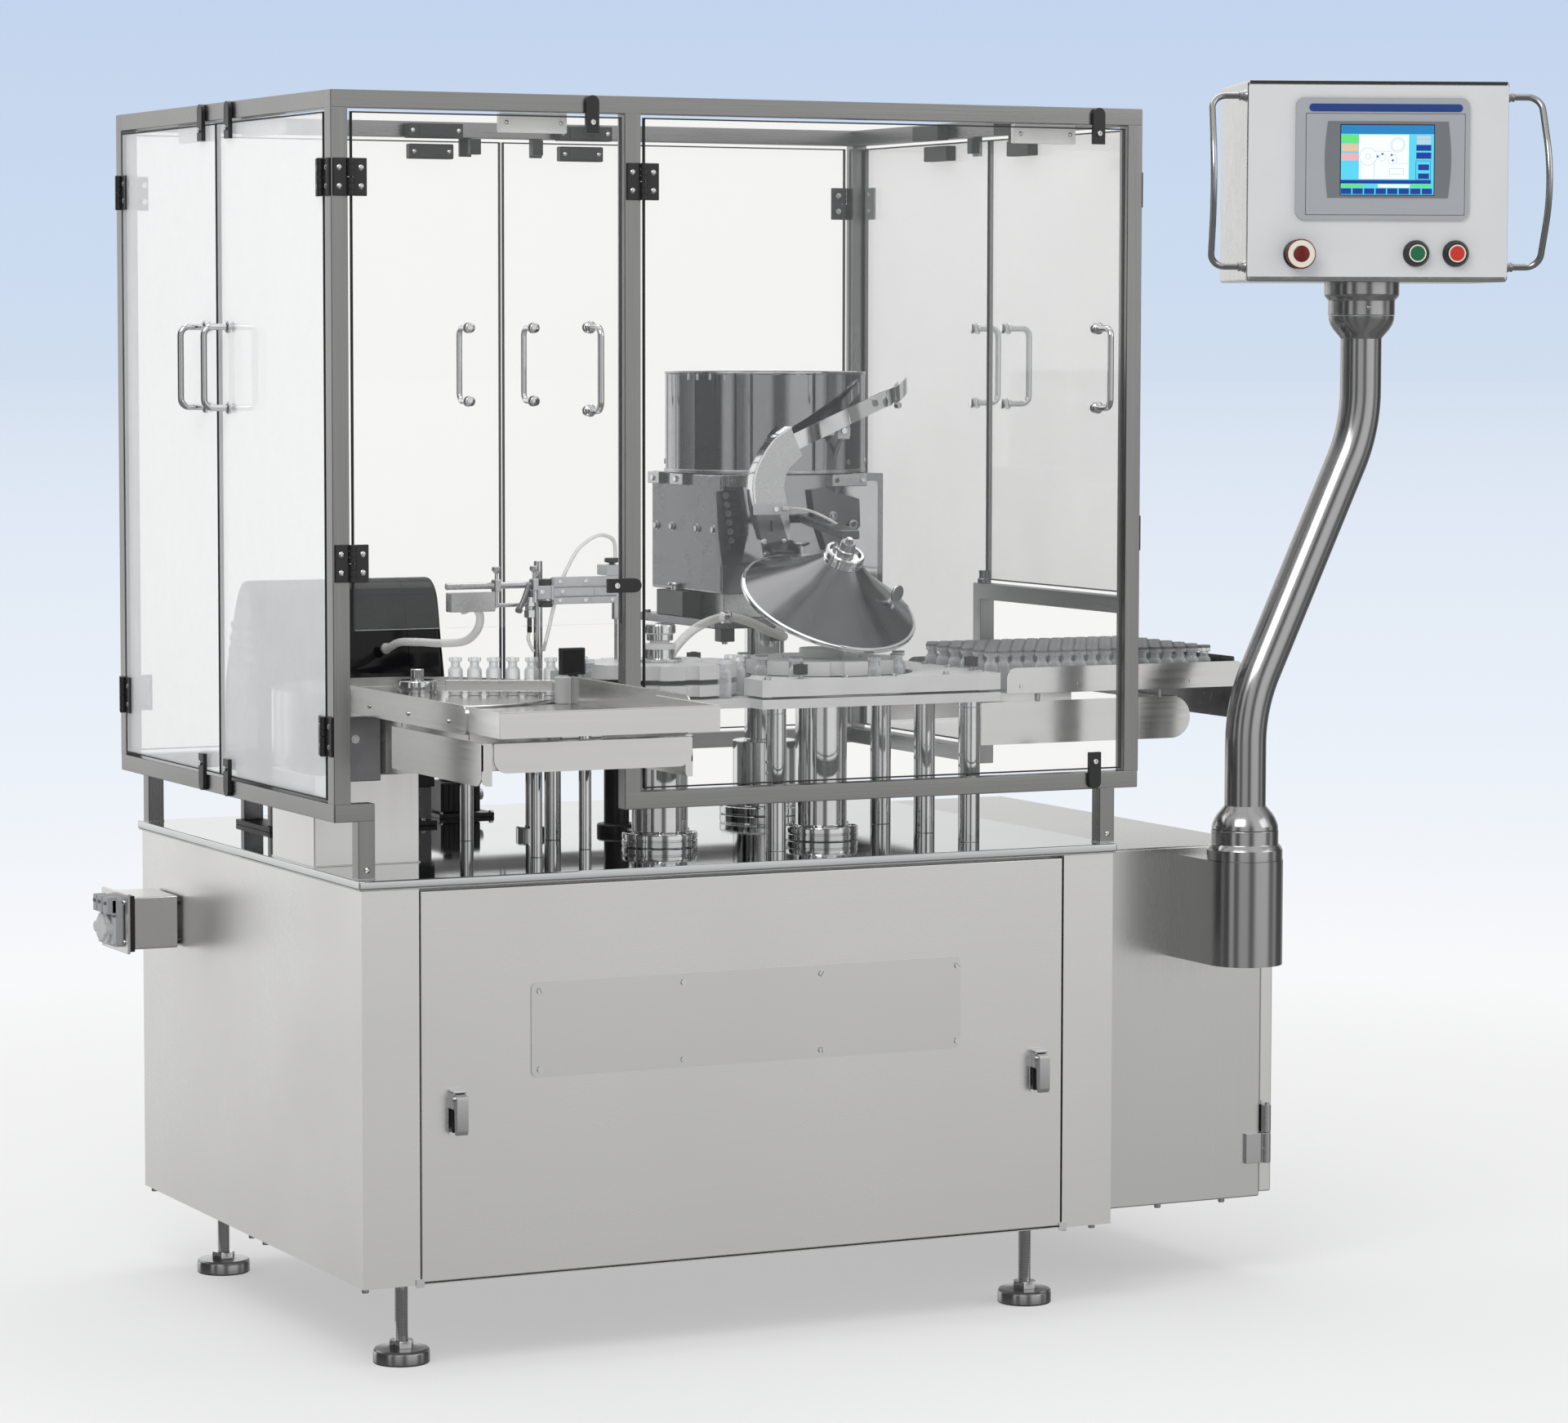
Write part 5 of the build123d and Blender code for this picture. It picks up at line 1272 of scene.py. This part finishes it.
k.done("outfeed_vials", "machine")

# ------------------------------------------------------------------ stopper bowl
BX, BY, BR = 951.0, 661.0, 162.0
k = Kit("bowl")
k.lathe((BX, BY, 1133), (0, 0, 1), [(0, 0), (158, 0), (160.6, 2), (160.6, 156), (162, 157.4), (162, 159), (160.4, 160), (157.4, 159), (157, 156), (157, 14), (120, 16), (60, 30), (20, 40), (0, 42)], 128)
sweep(k.use("satin"), [(BX + 148 * math.cos(t), BY + 148 * math.sin(t), 1150 + 104 * (t / (2.6 * math.pi))) for t in [2.6 * math.pi * i / 90 for i in range(91)]], [(-9, -1.2), (9, -1.2), (9, 1.2), (-9, 1.2)])
for a in (196, 203, 212, 221, 262):
    t = math.radians(a)
    k.socket((BX + 159.5 * math.cos(t), BY + 159.5 * math.sin(t), 1291.5), (0, 0, 1), 0.1, 0.1, "satin")
    k.box(BX + 156 * math.cos(t) - 6, BX + 156 * math.cos(t) + 6, BY + 156 * math.sin(t) - 3, BY + 156 * math.sin(t) + 3, 1280, 1292.6, 1.0)
k.use("satin").lathe((BX, BY, 1132.8), (0, 0, 1), [(150, 0), (161.4, 0), (161.8, 0.6), (161.8, 5), (161.2, 5.8), (150, 5.8)], 96)
for a in (245, 300, 330, 30, 100, 160):
    t = math.radians(a)
    x, y = BX + 160 * math.cos(t), BY + 160 * math.sin(t)
    k.hexhead((x, y, 1150), (math.cos(t), math.sin(t), 0), 4.5, 2.0, "satin")
k.done("stopper_bowl_shell", "machine", "stopper_bowl")

k = Kit("cover")
k.box(811, 1096, 526, 790, 944.2, 1132.4, 2.4, 3)
# thin dark sheet laid over the cover's left face: painted dark reflection
k.use("dark_steel").box(810.2, 811.4, 530, 786, 948, 1128.6, 0.5)
for y in (769, 709, 614.6, 552.7):
    k.use("satin").cyl((811, y, 1045.4), (-1, 0, 0), 7.4, 1.6, 0.5, 28)
    k.hexhead((809.6, y, 1045.4), (-1, 0, 0), 5.4, 4.2, "satin")
# raised service plate, lower blocks and a slotted strip with its row of bosses
k.use("chrome").prism(rrect(1012, 1085, 958, 1120, 6), 524.6, 526, "xz", r=0.5)
k.use("dark_steel").prism([(795, 1107), (834, 1108), (849, 1032), (838, 991), (806, 990.7), (799, 1040)], 514, 524, "xz", r=1.2)
for x, z in ((812, 1100), (814, 1086), (816, 1072), (818, 1058), (820, 1044), (822, 1030)):
    k.use("satin").lathe((x, 514, z), (0, -1, 0), [(0, 0), (5.2, 0), (5.2, 1.0), (3.4, 1.0), (3.4, 0.2), (0, 0.2)], 24)
k.use("light_grey")
for x0, x1, z0, z1 in ((818, 862, 1113, 1131.6), (1000, 1062, 1112, 1131.6)):
    k.use("satin").box(x0, x1, 516, 526.2, z0, z1, 1.2)
    for x in (x0 + 8, x1 - 8):
        k.hexhead((x, 516.2, (z0 + z1) / 2), (0, -1, 0), 4.2, 3, "chrome")
for y0, y1 in ((652, 700), (742, 786)):
    k.use("satin").box(801, 811.2, y0, y1, 1113, 1131.6, 1.2)
    k.hexhead((801.2, (y0 + y1) / 2, 1122), (-1, 0, 0), 4.6, 3, "chrome")
k.done("bowl_drive_cover_sheet", "machine", "bowl_drive_cover")

k = Kit("satin")
k.use("dark_steel").box(792, 1100, 511, 800, 891, 904, 1.6, 2)
k.use("satin").box(830, 1075, 560, 760, 904, 944.3, 1.6)
k.use("black").box(796, 826, 640, 740, 904, 944, 1.4)
k.use("chrome").lathe((806, 690, 943), (0, 0, 1), [(0, 0), (6, 0), (6, 8), (12, 9.5), (12, 12), (11, 13.5), (0, 13.5)], 28)
for x, y in ((804, 520), (1088, 520), (804, 790), (1088, 790), (890, 518), (1000, 518)):
    k.hexhead((x, y, 904), (0, 0, 1), 5, 4, "chrome")
for x, y in ((818, 530), (900, 522), (1070, 530)):
    k.use("black").box(x - 12, x + 12, y - 12, y + 12, 870, 891.2, 1.2)
    k.hexhead((x, y, 870), (0, 0, -1), 5, 4, "chrome")
k.done("bowl_mount_slab", "machine", "bowl_mount_plate")

# chute: bent track from the rim, then a curved face plate down to the cone
k = Kit("chrome")
U = [(-8, -13), (8, -13), (8, 6), (6, 6), (6, -11), (-6, -11), (-6, 13), (-8, 13)]
sweep(k.use("chrome"), spl([(905, 468, 1184), (955, 472, 1204), (1010, 479, 1226), (1062, 499, 1244), (1112, 524, 1258), (1158, 582, 1271)], 8), [(-a_, b_) for a_, b_ in U])
sweep(k.use("rubber"), spl([(912, 468.5, 1186), (955, 472, 1204), (1010, 479, 1226), (1062, 499, 1244), (1112, 524, 1258), (1150, 572, 1269)], 8), [(-5.6, -10.6), (5.6, -10.6), (5.6, -8.6), (-5.6, -8.6)])
outer = [(p.x, p.z) for p in spl([(889, 0, 1209), (856, 0, 1186), (831, 0, 1148), (824, 0, 1119), (828, 0, 1079), (838, 0, 1044), (842, 0, 1033)], 6)]
inner = [(p.x, p.z) for p in spl([(888, 0, 1033), (887, 0, 1062), (881, 0, 1098), (878, 0, 1118), (885, 0, 1141), (909, 0, 1164)], 6)]
k.use("satin").prism(outer + inner, 440, 442.6, "xz", r=0.6, ang=0.5)
k.use("satin").prism(outer + inner, 459.4, 462, "xz", r=0.6, ang=0.5)
band = outer + [(x + 3.2, z - 0.6) for x, z in reversed(outer)]
k.use("chrome").prism(band, 439.4, 462.6, "xz", r=0.4, ang=0.9)
band = inner + [(x - 3.0, z + 0.4) for x, z in reversed(inner)]
k.use("chrome").prism(band, 442, 460, "xz", r=0.3, ang=0.9)
k.use("light_grey").box(824, 878, 430, 441, 1072, 1090, 1.4)
k.use("satin").box(868, 884, 428, 440, 1078, 1086, 1.0)
k.hexhead((858, 430.2, 1081), (0, -1, 0), 4.6, 3.2, "chrome")
k.use("dark_steel").prism([(828, 1072), (868, 1072), (892, 1003), (843, 1003)], 434.5, 440.2, "xz", r=1.0)
k.use("rubber").prism(rrect(851, 855, 1046, 1064, 1.9), 434.0, 434.8, "xz", r=0.2)
for x, z in ((839, 1031), (873, 1031), (845, 1012), (880, 1012)):
    k.socket((x, 434.7, z), (0, -1, 0), 4.4, 4.6, "chrome")
T = frame_of((870, 426, 1022), Vector((868, 404, 1014)) - Vector((872, 448, 1031)), (1, 0, 0))
k.use("dark_steel").box(-23, 23, -3, 3, -22, 22, 1.0, 2, T)
# bar and clamps that hold the track
k.use("satin").box(962, 1016, 484, 492, 1193, 1207, 1.0)
k.use("light_grey").box(990, 1012, 478, 498, 1188, 1214, 1.4)
k.hexhead((1001, 478.2, 1201), (0, -1, 0), 5.6, 3.6, "chrome")
k.use("satin").tube([(1001, 488, 1190), (1001, 500, 1176), (1001, 524, 1140)], 4.0, 12)
k.use("chrome").cyl((1112, 515, 1240), (0.4, -0.9, 0), 5, 8, 0.6, 20)
# thin air line down to the cone's hub
k.use("hose").tube(spl([(880, 432, 1083), (905, 400, 1078), (925, 340, 1056), (918, 290, 1030), (905, 252, 1006)], 8), 2.2, 10)
k.done("stopper_chute_track", "machine", "stopper_chute")

# inclined cone
CN = Vector((0.07, -0.486, 0.871)).normalized()
CP = Vector((866.6, 265.0, 939.7))
k = Kit("cone")
facets = []
k.use("cone").lathe(CP, CN, [(0, 6), (134.6, 6), (134, 7.2), (60, 53.6), (33.4, 77.2), (31, 79), (0, 79)], 120)
k.use("chrome").lathe(CP, CN, [(0, 0), (136.6, 0), (138.4, 0.9), (138.6, 2.2), (138.6, 5.0), (137.6, 6.6), (134.4, 7.4), (130, 7.4), (0, 7.0)], 128)
k.use("chrome").lathe(CP, CN, [(0, 78), (30.2, 78), (31, 79), (31, 84.4), (29.6, 85.2), (29.6, 86.4), (31, 87.2), (31, 94.2), (29.4, 96), (25, 96), (24.4, 95), (24.4, 91.4), (0, 91.4)], 64)
for i in range(6):
    T = frame_of(CP, CN) @ Matrix.Rotation(math.radians(60 * i), 4, "Z")
    p = T @ Vector((31.2, 0, 82))
    k.dome(p, (T.to_3x3() @ Vector((1, 0, 0))), 1.8, 0.9, "satin")
# disc knob on its stem
T = frame_of(CP, CN)
side = (Vector((1, 0, 0)) - CN * CN.x).normalized()
upv = CN.cross(side)
base = CP + CN * 38 + side * 62 - upv * 40 * 0
base = CP + CN * 33.5 + side * 71 + upv * 50 * -0.9
k.use("satin").cyl(base - CN * 4, CN, 13, 3.4, 0.8, 32)
k.use("chrome").cyl(base - CN * 2, (CN * 0.75 + side * 0.5 + upv * 0.1), 3.4, 24, 0.4, 18)
k.use("satin").cyl(base + (CN * 0.75 + side * 0.5 + upv * 0.1).normalized() * 22, (side * 0.35 - upv * 0.8 + CN * 0.2), 13.5, 4.4, 1.2, 40)
# mushroom knob at the back of the cone
bk = CP + CN * 46 - side * 18 + upv * 60
k.use("satin").cyl(bk - CN * 3, CN, 15, 2.6, 0.8, 32)
k.done("stopper_cone_shell", "machine", "stopper_cone")

# bracket that holds the cone from the drive cover
k = Kit("satin")
tip = CP + CN * 91
k.use("satin").lathe(tip, CN, [(0, 0), (14, 0), (14, 8), (12, 10), (12, 20), (10.6, 22), (6.5, 22), (6.5, 26), (0, 26)], 32)
k.hexhead(tip + CN * 25, CN, 5.2, 3.6, "chrome")
pa, pb = Vector((888, 232, 1048)), Vector((960, 522, 1062))
dv = (pb - pa).normalized()
T = Matrix((dv, Vector((0, 0, 1)).cross(dv).normalized(), dv.cross(Vector((0, 0, 1)).cross(dv).normalized()))).transposed().to_4x4()
T.translation = (pa + pb) / 2
LL = (pb - pa).length
k.use("dark_steel").box(-LL / 2, LL / 2, -15, 15, -7, 7, 2.4, 3, T)
k.use("dark_steel").prism([(962, 1107), (988, 1110), (1007, 1102), (1047, 1092), (1048, 1071), (1049, 1048), (1040, 1040), (1029, 1058), (1021, 1050), (1018, 1014), (990, 1011), (977, 1046), (966, 1079)], 514, 525.6, "xz", r=1.8, seg=2, ang=0.3)
for x, z in ((985, 1050), (1036, 1052), (1000, 1066)):
    k.use("satin").cyl((x, 514.4, z), (0, -1, 0), 7.4, 2, 0.5, 28)
    k.hexhead((x, 512.6, z), (0, -1, 0), 5.2, 4, "chrome")
k.use("chrome").cyl((886, 395, 990), (0, 0, 1), 3.6, 40, 0.4, 18)
k.lathe((886, 395, 1024), (0, 0, 1), [(0, 0), (5, 0), (13.6, 3.6), (14, 5), (13, 6.6), (0, 7.4)], 36)
k.use("satin").box(872, 902, 388, 440, 984, 990, 1.0)
k.done("cone_bracket_arm", "machine", "cone_bracket")

# hose behind the dial
k = Kit("hose")
k.tube(spl([(690, 474, 811), (690, 472, 836), (704, 466, 868), (738, 462, 898), (784, 460, 913), (826, 460, 905), (862, 462, 889), (890, 470, 880), (900, 492, 880), (902, 518, 888)], 8), 7.0, 16)
k.use("chrome").lathe((780, 460, 912.4), (1, 0, 0.02), [(0, 0), (9.2, 0), (9.6, 0.6), (9.6, 3), (8.6, 4), (8.6, 10), (9.6, 11), (9.6, 13.4), (9.2, 14), (0, 14)], 32)
k.use("satin").cyl((690, 474, 811), (0, 0, 1), 11, 10, 1.0, 28)
k.done("bowl_supply_hose", "machine")

# ------------------------------------------------------------------ filling head
FX, FY = 457.0, 433.0
k = Kit("chrome")
k.lathe((FX, FY, 811), (0, 0, 1), [(0, 0), (6.1, 0), (6.7, 0.6), (6.7, 196), (6.0, 197), (0, 197)], 28)
k.use("satin").cyl((FX, FY, 811), (0, 0, 1), 13, 7, 1.2, 32)
pa, pb = Vector((FX + 6, FY + 14, 964)), Vector((420, 350, 964))
dv = (pb - pa).normalized()
T = Matrix((dv, Vector((-dv.y, dv.x, 0)), Vector((0, 0, 1)))).transposed().to_4x4()
T.translation = (pa + pb) / 2
LL = (pb - pa).length
k.use("black").box(-LL / 2, LL / 2, -15, 15, -11, 11, 1.6, 2, T)
for zz in (980, 947):
    k.use("black").lathe((436, 356, zz - 5), (0, 0, 1), [(0, 0), (10, 0), (11, 1.2), (11, 8.4), (10, 9.6), (0, 9.6)], 30)
# slide: carrier plate with three rails
k.use("satin").box(440, 548, 341, 347, 949, 987, 1.0)
for z0, z1, x1 in ((973.6, 988, 552), (959.2, 971.8, 548), (947, 957.4, 552)):
    k.use("light_grey").box(440.4, x1, 332, 342, z0, z1, 1.1)
k.use("satin").box(506, 511, 331.4, 341, 960, 971, 0.6)
k.box(500, 505, 331.4, 341, 948, 957, 0.6)
for x, z in ((450, 981), (492, 981), (454, 965.6), (450, 952), (492, 952), (536, 952), (536, 981)):
    k.socket((x, 332.2, z), (0, -1, 0), 3.6, 1.2, "chrome")
k.use("light_grey").box(415, 441, 334, 345, 955, 975, 1.2)
k.socket((422, 334.2, 966), (0, -1, 0), 3.4, 1.4, "chrome")
k.use("satin").box(436, 441, 333, 346, 953.5, 976.5, 0.8)
# rod, thumb-screw clamps, valve body and lever
k.use("satin").lathe((268, 340, 977), (1, 0, 0), [(0, 0), (4.4, 0), (5, 0.6), (5, 136), (0, 136)], 24)
for x, zt in ((349.6, 1000), (411, 1000)):
    k.use("satin").lathe((x, 340, 968), (0, 0, 1), [(0, 0), (7, 0), (8.2, 1.2), (8.2, 16.8), (7, 18), (0, 18)], 24, hexes=(1, 2, 3, 4))
    k.use("chrome").cyl((x, 340, 985), (0, 0, 1), 2.6, 14, 0.3, 16)
    k.use("satin").lathe((x, 340, zt - 5), (0, 0, 1), [(0, 0), (3, 0), (6.2, 4), (7, 5), (7, 9), (6, 10.2), (0, 10.2)], 26)
k.use("chrome").cyl((349.6, 340, 945), (0, 0, 1), 3.0, 24, 0.4, 16)
k.use("chrome").cyl((411, 340, 950), (0, 0, 1), 5.4, 20, 0.6, 20)
k.use("satin").box(274, 346, 334, 356, 938.5, 967.5, 1.6)
k.cyl((344, 345, 947), (1, 0, 0), 4.6, 8, 0.5, 20)
k.cyl((350, 345, 947), (1, 0, 0), 3.2, 52, 0.4, 18)
k.use("chrome").lathe((405, 344, 943), (0, 0, 1), [(0, -16), (5, -16), (8.6, -15), (8.6, -4), (6.6, -3), (6.6, 1), (8.8, 2), (8.8, 14), (7.6, 15.2), (0, 15.2)], 24, hexes=(2, 3, 6, 7))
k.use("black").cyl((405, 344, 905), (0, 0, 1), 3.6, 23, 0.4, 18)
k.use("hose").tube(spl([(405, 344, 908), (403, 345, 897), (407, 346, 886), (413, 346, 876)], 6), 2.6, 12)
k.use("dark_steel").tube([(400, 335, 978), (391, 330, 958), (381, 328, 940)], [3.4, 4.2, 3.6], 14)
k.lathe((381, 328, 940), (-0.3, -0.1, -0.9), [(0, -4), (4.6, -3.4), (5.8, 0), (4.6, 3.8), (0, 5)], 20)
# fill needle line: up from behind the slide, over a loop, and down to the vial
k.use("hose").tube(spl([(430, 350, 877), (438, 352, 902), (449, 353, 944), (458, 354, 972), (474, 353, 1006), (492, 352, 1032), (522, 352, 1049), (549, 360, 1042), (556, 366, 1022), (552, 362, 1003)], 8), 2.9, 12)
k.use("chrome").tube([(430, 350, 876), (434, 351, 890)], 1.8, 10)
# small block with its adjusting knob
k.use("light_grey").box(528, 556, 334, 372, 988.5, 1004, 1.2)
k.use("black").lathe((543, 350, 1003.5), (0, 0, 1), [(0, 0), (4, 0), (4.4, 3), (10.4, 4.4), (11.2, 5.6), (11.2, 9.6), (10, 11), (0, 11)], 32)
k.use("satin").box(540, 550, 334, 344, 922, 948, 0.8)
k.cyl((545, 339, 852), (0, 0, 1), 2.6, 71, 0.3, 16)
k.use("black").box(536, 552, 332, 346, 840.4, 854, 1.0)
# product hose from the pump to the valve block
k.use("hose").tube(spl([(300, 352, 940), (322, 362, 944), (338, 376, 930), (340, 392, 908), (332, 420, 890), (316, 470, 884), (304, 540, 882), (300, 606, 878), (304, 660, 867), (308, 690, 864)], 8), 6.2, 14)
k.use("satin").cyl((308, 684, 863.6), (0, 1, 0), 9.0, 6, 0.8, 24)
k.done("filling_head_parts", "machine", "filling_head")

# ------------------------------------------------------------------ terminal arm
AX, AY, AR, HX, HY = 1440.0, -20.0, 59.0, 1641.0, -20.0
k = Kit("arm_z")
out_h = [(AX + AR, 106.6), (AX - AR, 106.6)] + arc(AX, AY, AR, 180, 360, 40)
k.prism(out_h, 390, 551, "xy", r=1.6, seg=3, ang=0.8)
k.lathe((AX, AY, 551), (0, 0, 1), [(0, 0), (57.4, 0), (58, 0.8), (58, 15.2), (57.2, 16.6), (55, 21), (52.6, 23.4), (51.5, 25.6), (51.5, 45), (50.8, 46), (0, 46)], 96)
k.done("arm_housing_shell", "machine", "arm_housing")

k = Kit("arm_z")
k.lathe((AX, AY, 597.6), (0, 0, 1), [(0, 0), (50.4, 0), (51, 0.8), (50.8, 5), (49.6, 9.5), (46.6, 17), (42.6, 23.4), (38.0, 29), (34.4, 33), (32.6, 35.4), (31.8, 36.4), (0, 36.4)], 96)
pts = [(AX, AY, 620), (AX, AY, 787), (HX, HY, 1210), (HX, HY, 1370)]
k.tube([pts[0]] + [p for p in fil(pts, 260, 16)[1:-1]] + [pts[-1]], 31.75, 64)
k.lathe((HX, HY, 0), (0, 0, 1), [(0, 1347), (31.8, 1347), (33, 1349.4), (37.4, 1354.6), (43, 1361), (48, 1369), (50.4, 1376), (51, 1381.6), (50.4, 1382.4), (0, 1382.4)], 96)
k.done("terminal_arm_tube", "swing_arm", "terminal_arm")

# ------------------------------------------------------------------ operator terminal
HB = Matrix.Translation((HX, HY, 0)) @ Matrix.Rotation(math.radians(-21.1), 4, "Z")
Z0, Z1, W2, YF = 1433.2, 1735.5, 200.85, -116.0
k = Kit("arm_z")
k.lathe((HX, HY, 0), (0, 0, 1), [(0, 1383), (50.8, 1383), (51.5, 1383.8), (51.5, 1404.6), (52.4, 1407), (55.4, 1410.6), (57.6, 1413.2), (58, 1416), (58, 1433.4), (0, 1433.4)], 96)
for a in (250, 10, 130):
    t = math.radians(a)
    k.dome((HX + 51.2 * math.cos(t), HY + 51.2 * math.sin(t), 1395), (math.cos(t), math.sin(t), 0), 3, 1.2, "chrome")
k.T = HB
k.use("term_steel").box(-W2, W2, YF, -YF, Z0, Z1, 5.0, 4)
k.use("paint_white").prism(rrect(-W2 + 1.6, W2 - 1.6, Z0 + 7.5, Z1 - 6.5, 2.5), YF - 0.9, YF + 1, "xz", r=0.5)
# dark reveal along the upper front edge, seam of the rear cover, screws behind
k.use("rubber").box(-W2 + 3, W2 - 3, YF - 0.3, YF + 2.6, Z1 - 5.4, Z1 - 0.4, 0.8)
k.use("term_steel").prism(rrect(-W2 + 12, W2 - 12, Z0 + 12, Z1 - 12, 8), -YF, -YF + 1.4, "xz", r=0.6)
for x in (-W2 + 24, 0, W2 - 24):
    for z in (Z0 + 22, Z1 - 22):
        k.slotted(Vector((x, -YF + 1.2, z)), (0, 1, 0), 4.2, 2.0, 30, "chrome")
T0 = k.T
for s in (-1, 1):
    for z in (1456, 1713):
        k.use("chrome").lathe(Vector((s * W2, YF + 16, z)), (s, 0, 0), [(0, -1), (9.4, -1), (9.8, 0), (9.8, 1.6), (0, 1.6)], 28)
k.done("terminal_case", "operator_terminal", "terminal_box")

k = Kit("bezel", HB)
k.prism(rrect(-127.7, 138.4, 1526.6, 1710, 13, 8), YF - 6, YF - 0.5, "xz", r=2.4, seg=3)
k.prism(rrect(-112, 131, 1534, 1686, 3), YF - 6.3, YF - 5.8, "xz", r=0.15, seg=1)
k.use("rubber")
for x0, x1, z0, z1 in ((-112.6, 131.6, 1685.7, 1686.3), (-112.6, 131.6, 1533.7, 1534.3), (-112.6, -112.0, 1534, 1686), (131, 131.6, 1534, 1686)):
    k.box(x0, x1, YF - 6.45, YF - 5.9, z0, z1)
k.use("strip_blue").prism(rrect(-107.8, 127.4, 1689, 1700.6, 5.6, 8), YF - 6.6, YF - 5.8, "xz", r=0.25)
sur = [(-79, 1559.6), (105.5, 1559.6)] + [(105.5 + 4.4 * math.sin(math.pi * i / 10), 1559.6 + 114.7 * i / 10) for i in range(1, 10)] + [(105.5, 1674.3), (-79, 1674.3)] + [(-79 - 4.4 * math.sin(math.pi * i / 10), 1674.3 - 114.7 * i / 10) for i in range(1, 10)]
k.use("surround").prism(sur, YF - 7.2, YF - 5.8, "xz", r=0.7, ang=0.5)
k.use("gloss_black").box(-60.2, 84.6, YF - 7.5, YF - 6.8, 1562.8, 1670, 0.2)


def scr(px, py):
    """Display point from a place on its 415 by 323 layout."""
    return -59 + (px - 612) / 415.0 * 142.4, 1668.8 - (py - 252) / 323.0 * 104.8


lev = {"y": YF - 7.5}


def ink(mat, x0, y0, x1, y1, h=0.12):
    a_, b_ = scr(x0, y0), scr(x1, y1)
    k.use(mat).box(a_[0], b_[0], lev["y"] - h, lev["y"] + 0.1, b_[1], a_[1])


def ring2(mat, x, y, r, w=0.7):
    c_ = scr(x, y)
    q = r / 415.0 * 142.4
    k.use(mat).lathe(Vector((c_[0], lev["y"] - 0.24, c_[1])), (0, -1, 0), [(q - w / 2, 0), (q + w / 2, 0), (q + w / 2, 0.1), (q - w / 2, 0.1)], 40)


ink("ink_cyan", 612, 252, 1027, 575, 0.06)
ink("ink_navy2", 612, 252, 1027, 293)
ink("ink_green", 614, 297, 690, 334)
ink("ink_tan", 614, 339, 690, 374)
ink("ink_pink", 614, 381, 690, 416)
ink("ink_white", 692, 296, 915, 502)
for x, y, r in ((865, 343, 32), (865, 343, 26), (733, 398, 38), (733, 398, 12), (843, 410, 20), (796, 404, 14)):
    ring2("ink_line", x, y, r)
for x0, y0, x1, y1 in ((699, 420, 701, 500), (759, 420, 761, 500), (828, 452, 892, 454), (828, 478, 892, 480), (828, 452, 830, 480), (890, 452, 892, 480), (760, 372, 838, 374), (862, 428, 910, 430)):
    ink("ink_line", x0, y0, x1, y1, 0.2)
for x, y in ((797, 386), (775, 397), (838, 390), (843, 415)):
    ring2("ink_navy", x, y, 3.0, 1.4)
for y0, y1 in ((300, 315), (317, 340)):
    ink("ink_line", 950, y0, 1013, y1, 0.1)
for x0, y0, x1, y1 in ((948, 343, 1015, 370), (948, 378, 1015, 407), (957, 433, 1006, 460), (957, 475, 1006, 500)):
    ink("ink_navy", x0, y0, x1, y1)
for x0, y0, x1, y1 in ((946, 416, 1013, 418), (946, 503, 1013, 505), (946, 416, 948, 505), (1011, 416, 1013, 505)):
    ink("ink_navy", x0, y0, x1, y1)
ink("ink_navy", 612, 506, 1015, 523)
ink("ink_green", 612, 526, 714, 540)
ink("ink_white", 778, 526, 920, 541)
ink("ink_green", 922, 526, 1013, 540)
for i in range(8):
    ink("ink_navy", 613 + i * 51.6, 545, 613 + i * 51.6 + 46, 572)
k.done("operator_display", "operator_terminal", "operator_screen")

k = Kit("black", HB)
Y = YF - 0.9
c = Vector((-123, Y, 1474.4))
k.use("black").lathe(c, (0, -1, 0), [(0, 0), (21.5, 0), (22, 0.6), (22, 5), (20.4, 6.4), (17, 7), (17, 15), (0, 15)], 48)
k.use("red_dark").lathe(c, (0, -1, 0), [(0, 13), (15.6, 13), (16.4, 15), (20.4, 22), (22.4, 27), (22.6, 30.4), (21.6, 32.4), (20.6, 33), (0, 33)], 56)
k.use("ivory").lathe(c, (0, -1, 0), [(12.4, 32.0), (20.5, 32.0), (20.5, 33.2), (19.8, 33.8), (13.0, 33.8), (12.4, 33.2)], 56)
k.use("red_dark").lathe(c, (0, -1, 0), [(0, 32), (12.2, 32), (12.2, 33.2), (10.6, 34.0), (0, 34.6)], 48)
for x, m in ((58.7, "green"), (119.5, "red")):
    c = Vector((x, Y, 1476))
    k.use("black").lathe(c, (0, -1, 0), [(0, 0), (19.6, 0), (20, 0.5), (20, 5), (18.6, 7.4), (17.2, 10), (16.2, 14), (15.4, 15), (13.4, 15), (13.4, 13.4), (0, 13.4)], 48)
    k.use("ivory").lathe(c, (0, -1, 0), [(11.3, 12), (13.5, 12), (13.5, 14.8), (12.8, 15.3), (11.3, 15.0)], 44)
    k.use(m).lathe(c, (0, -1, 0), [(0, 12), (11.2, 12), (11.2, 14.6), (10.0, 15.6), (0, 16)], 44)
k.done("terminal_button_heads", "operator_terminal", "push_buttons")

k = Kit("chrome", HB)
for s in (-1, 1):
    ya = YF + 16
    pts = [(s * W2, ya, 1713), (s * (W2 + 52), ya, 1713), (s * (W2 + 57), ya - 62, 1584.5), (s * (W2 + 52), ya, 1456), (s * W2, ya, 1456)]
    k.use("arm_z").tube(fil(pts, [22, 150, 22], 9), 5.1, 20)
    for z in (1713, 1456):
        k.use("satin").lathe(Vector((s * W2, ya, z)), (s, 0, 0), [(0, 0), (7.2, 0), (8, 0.8), (8, 4.2), (6.6, 5.6), (6.6, 7), (7.4, 8), (7.4, 10), (5.4, 11.4), (0, 11.4)], 28)
k.done("terminal_side_handles", "operator_terminal", "terminal_handles")
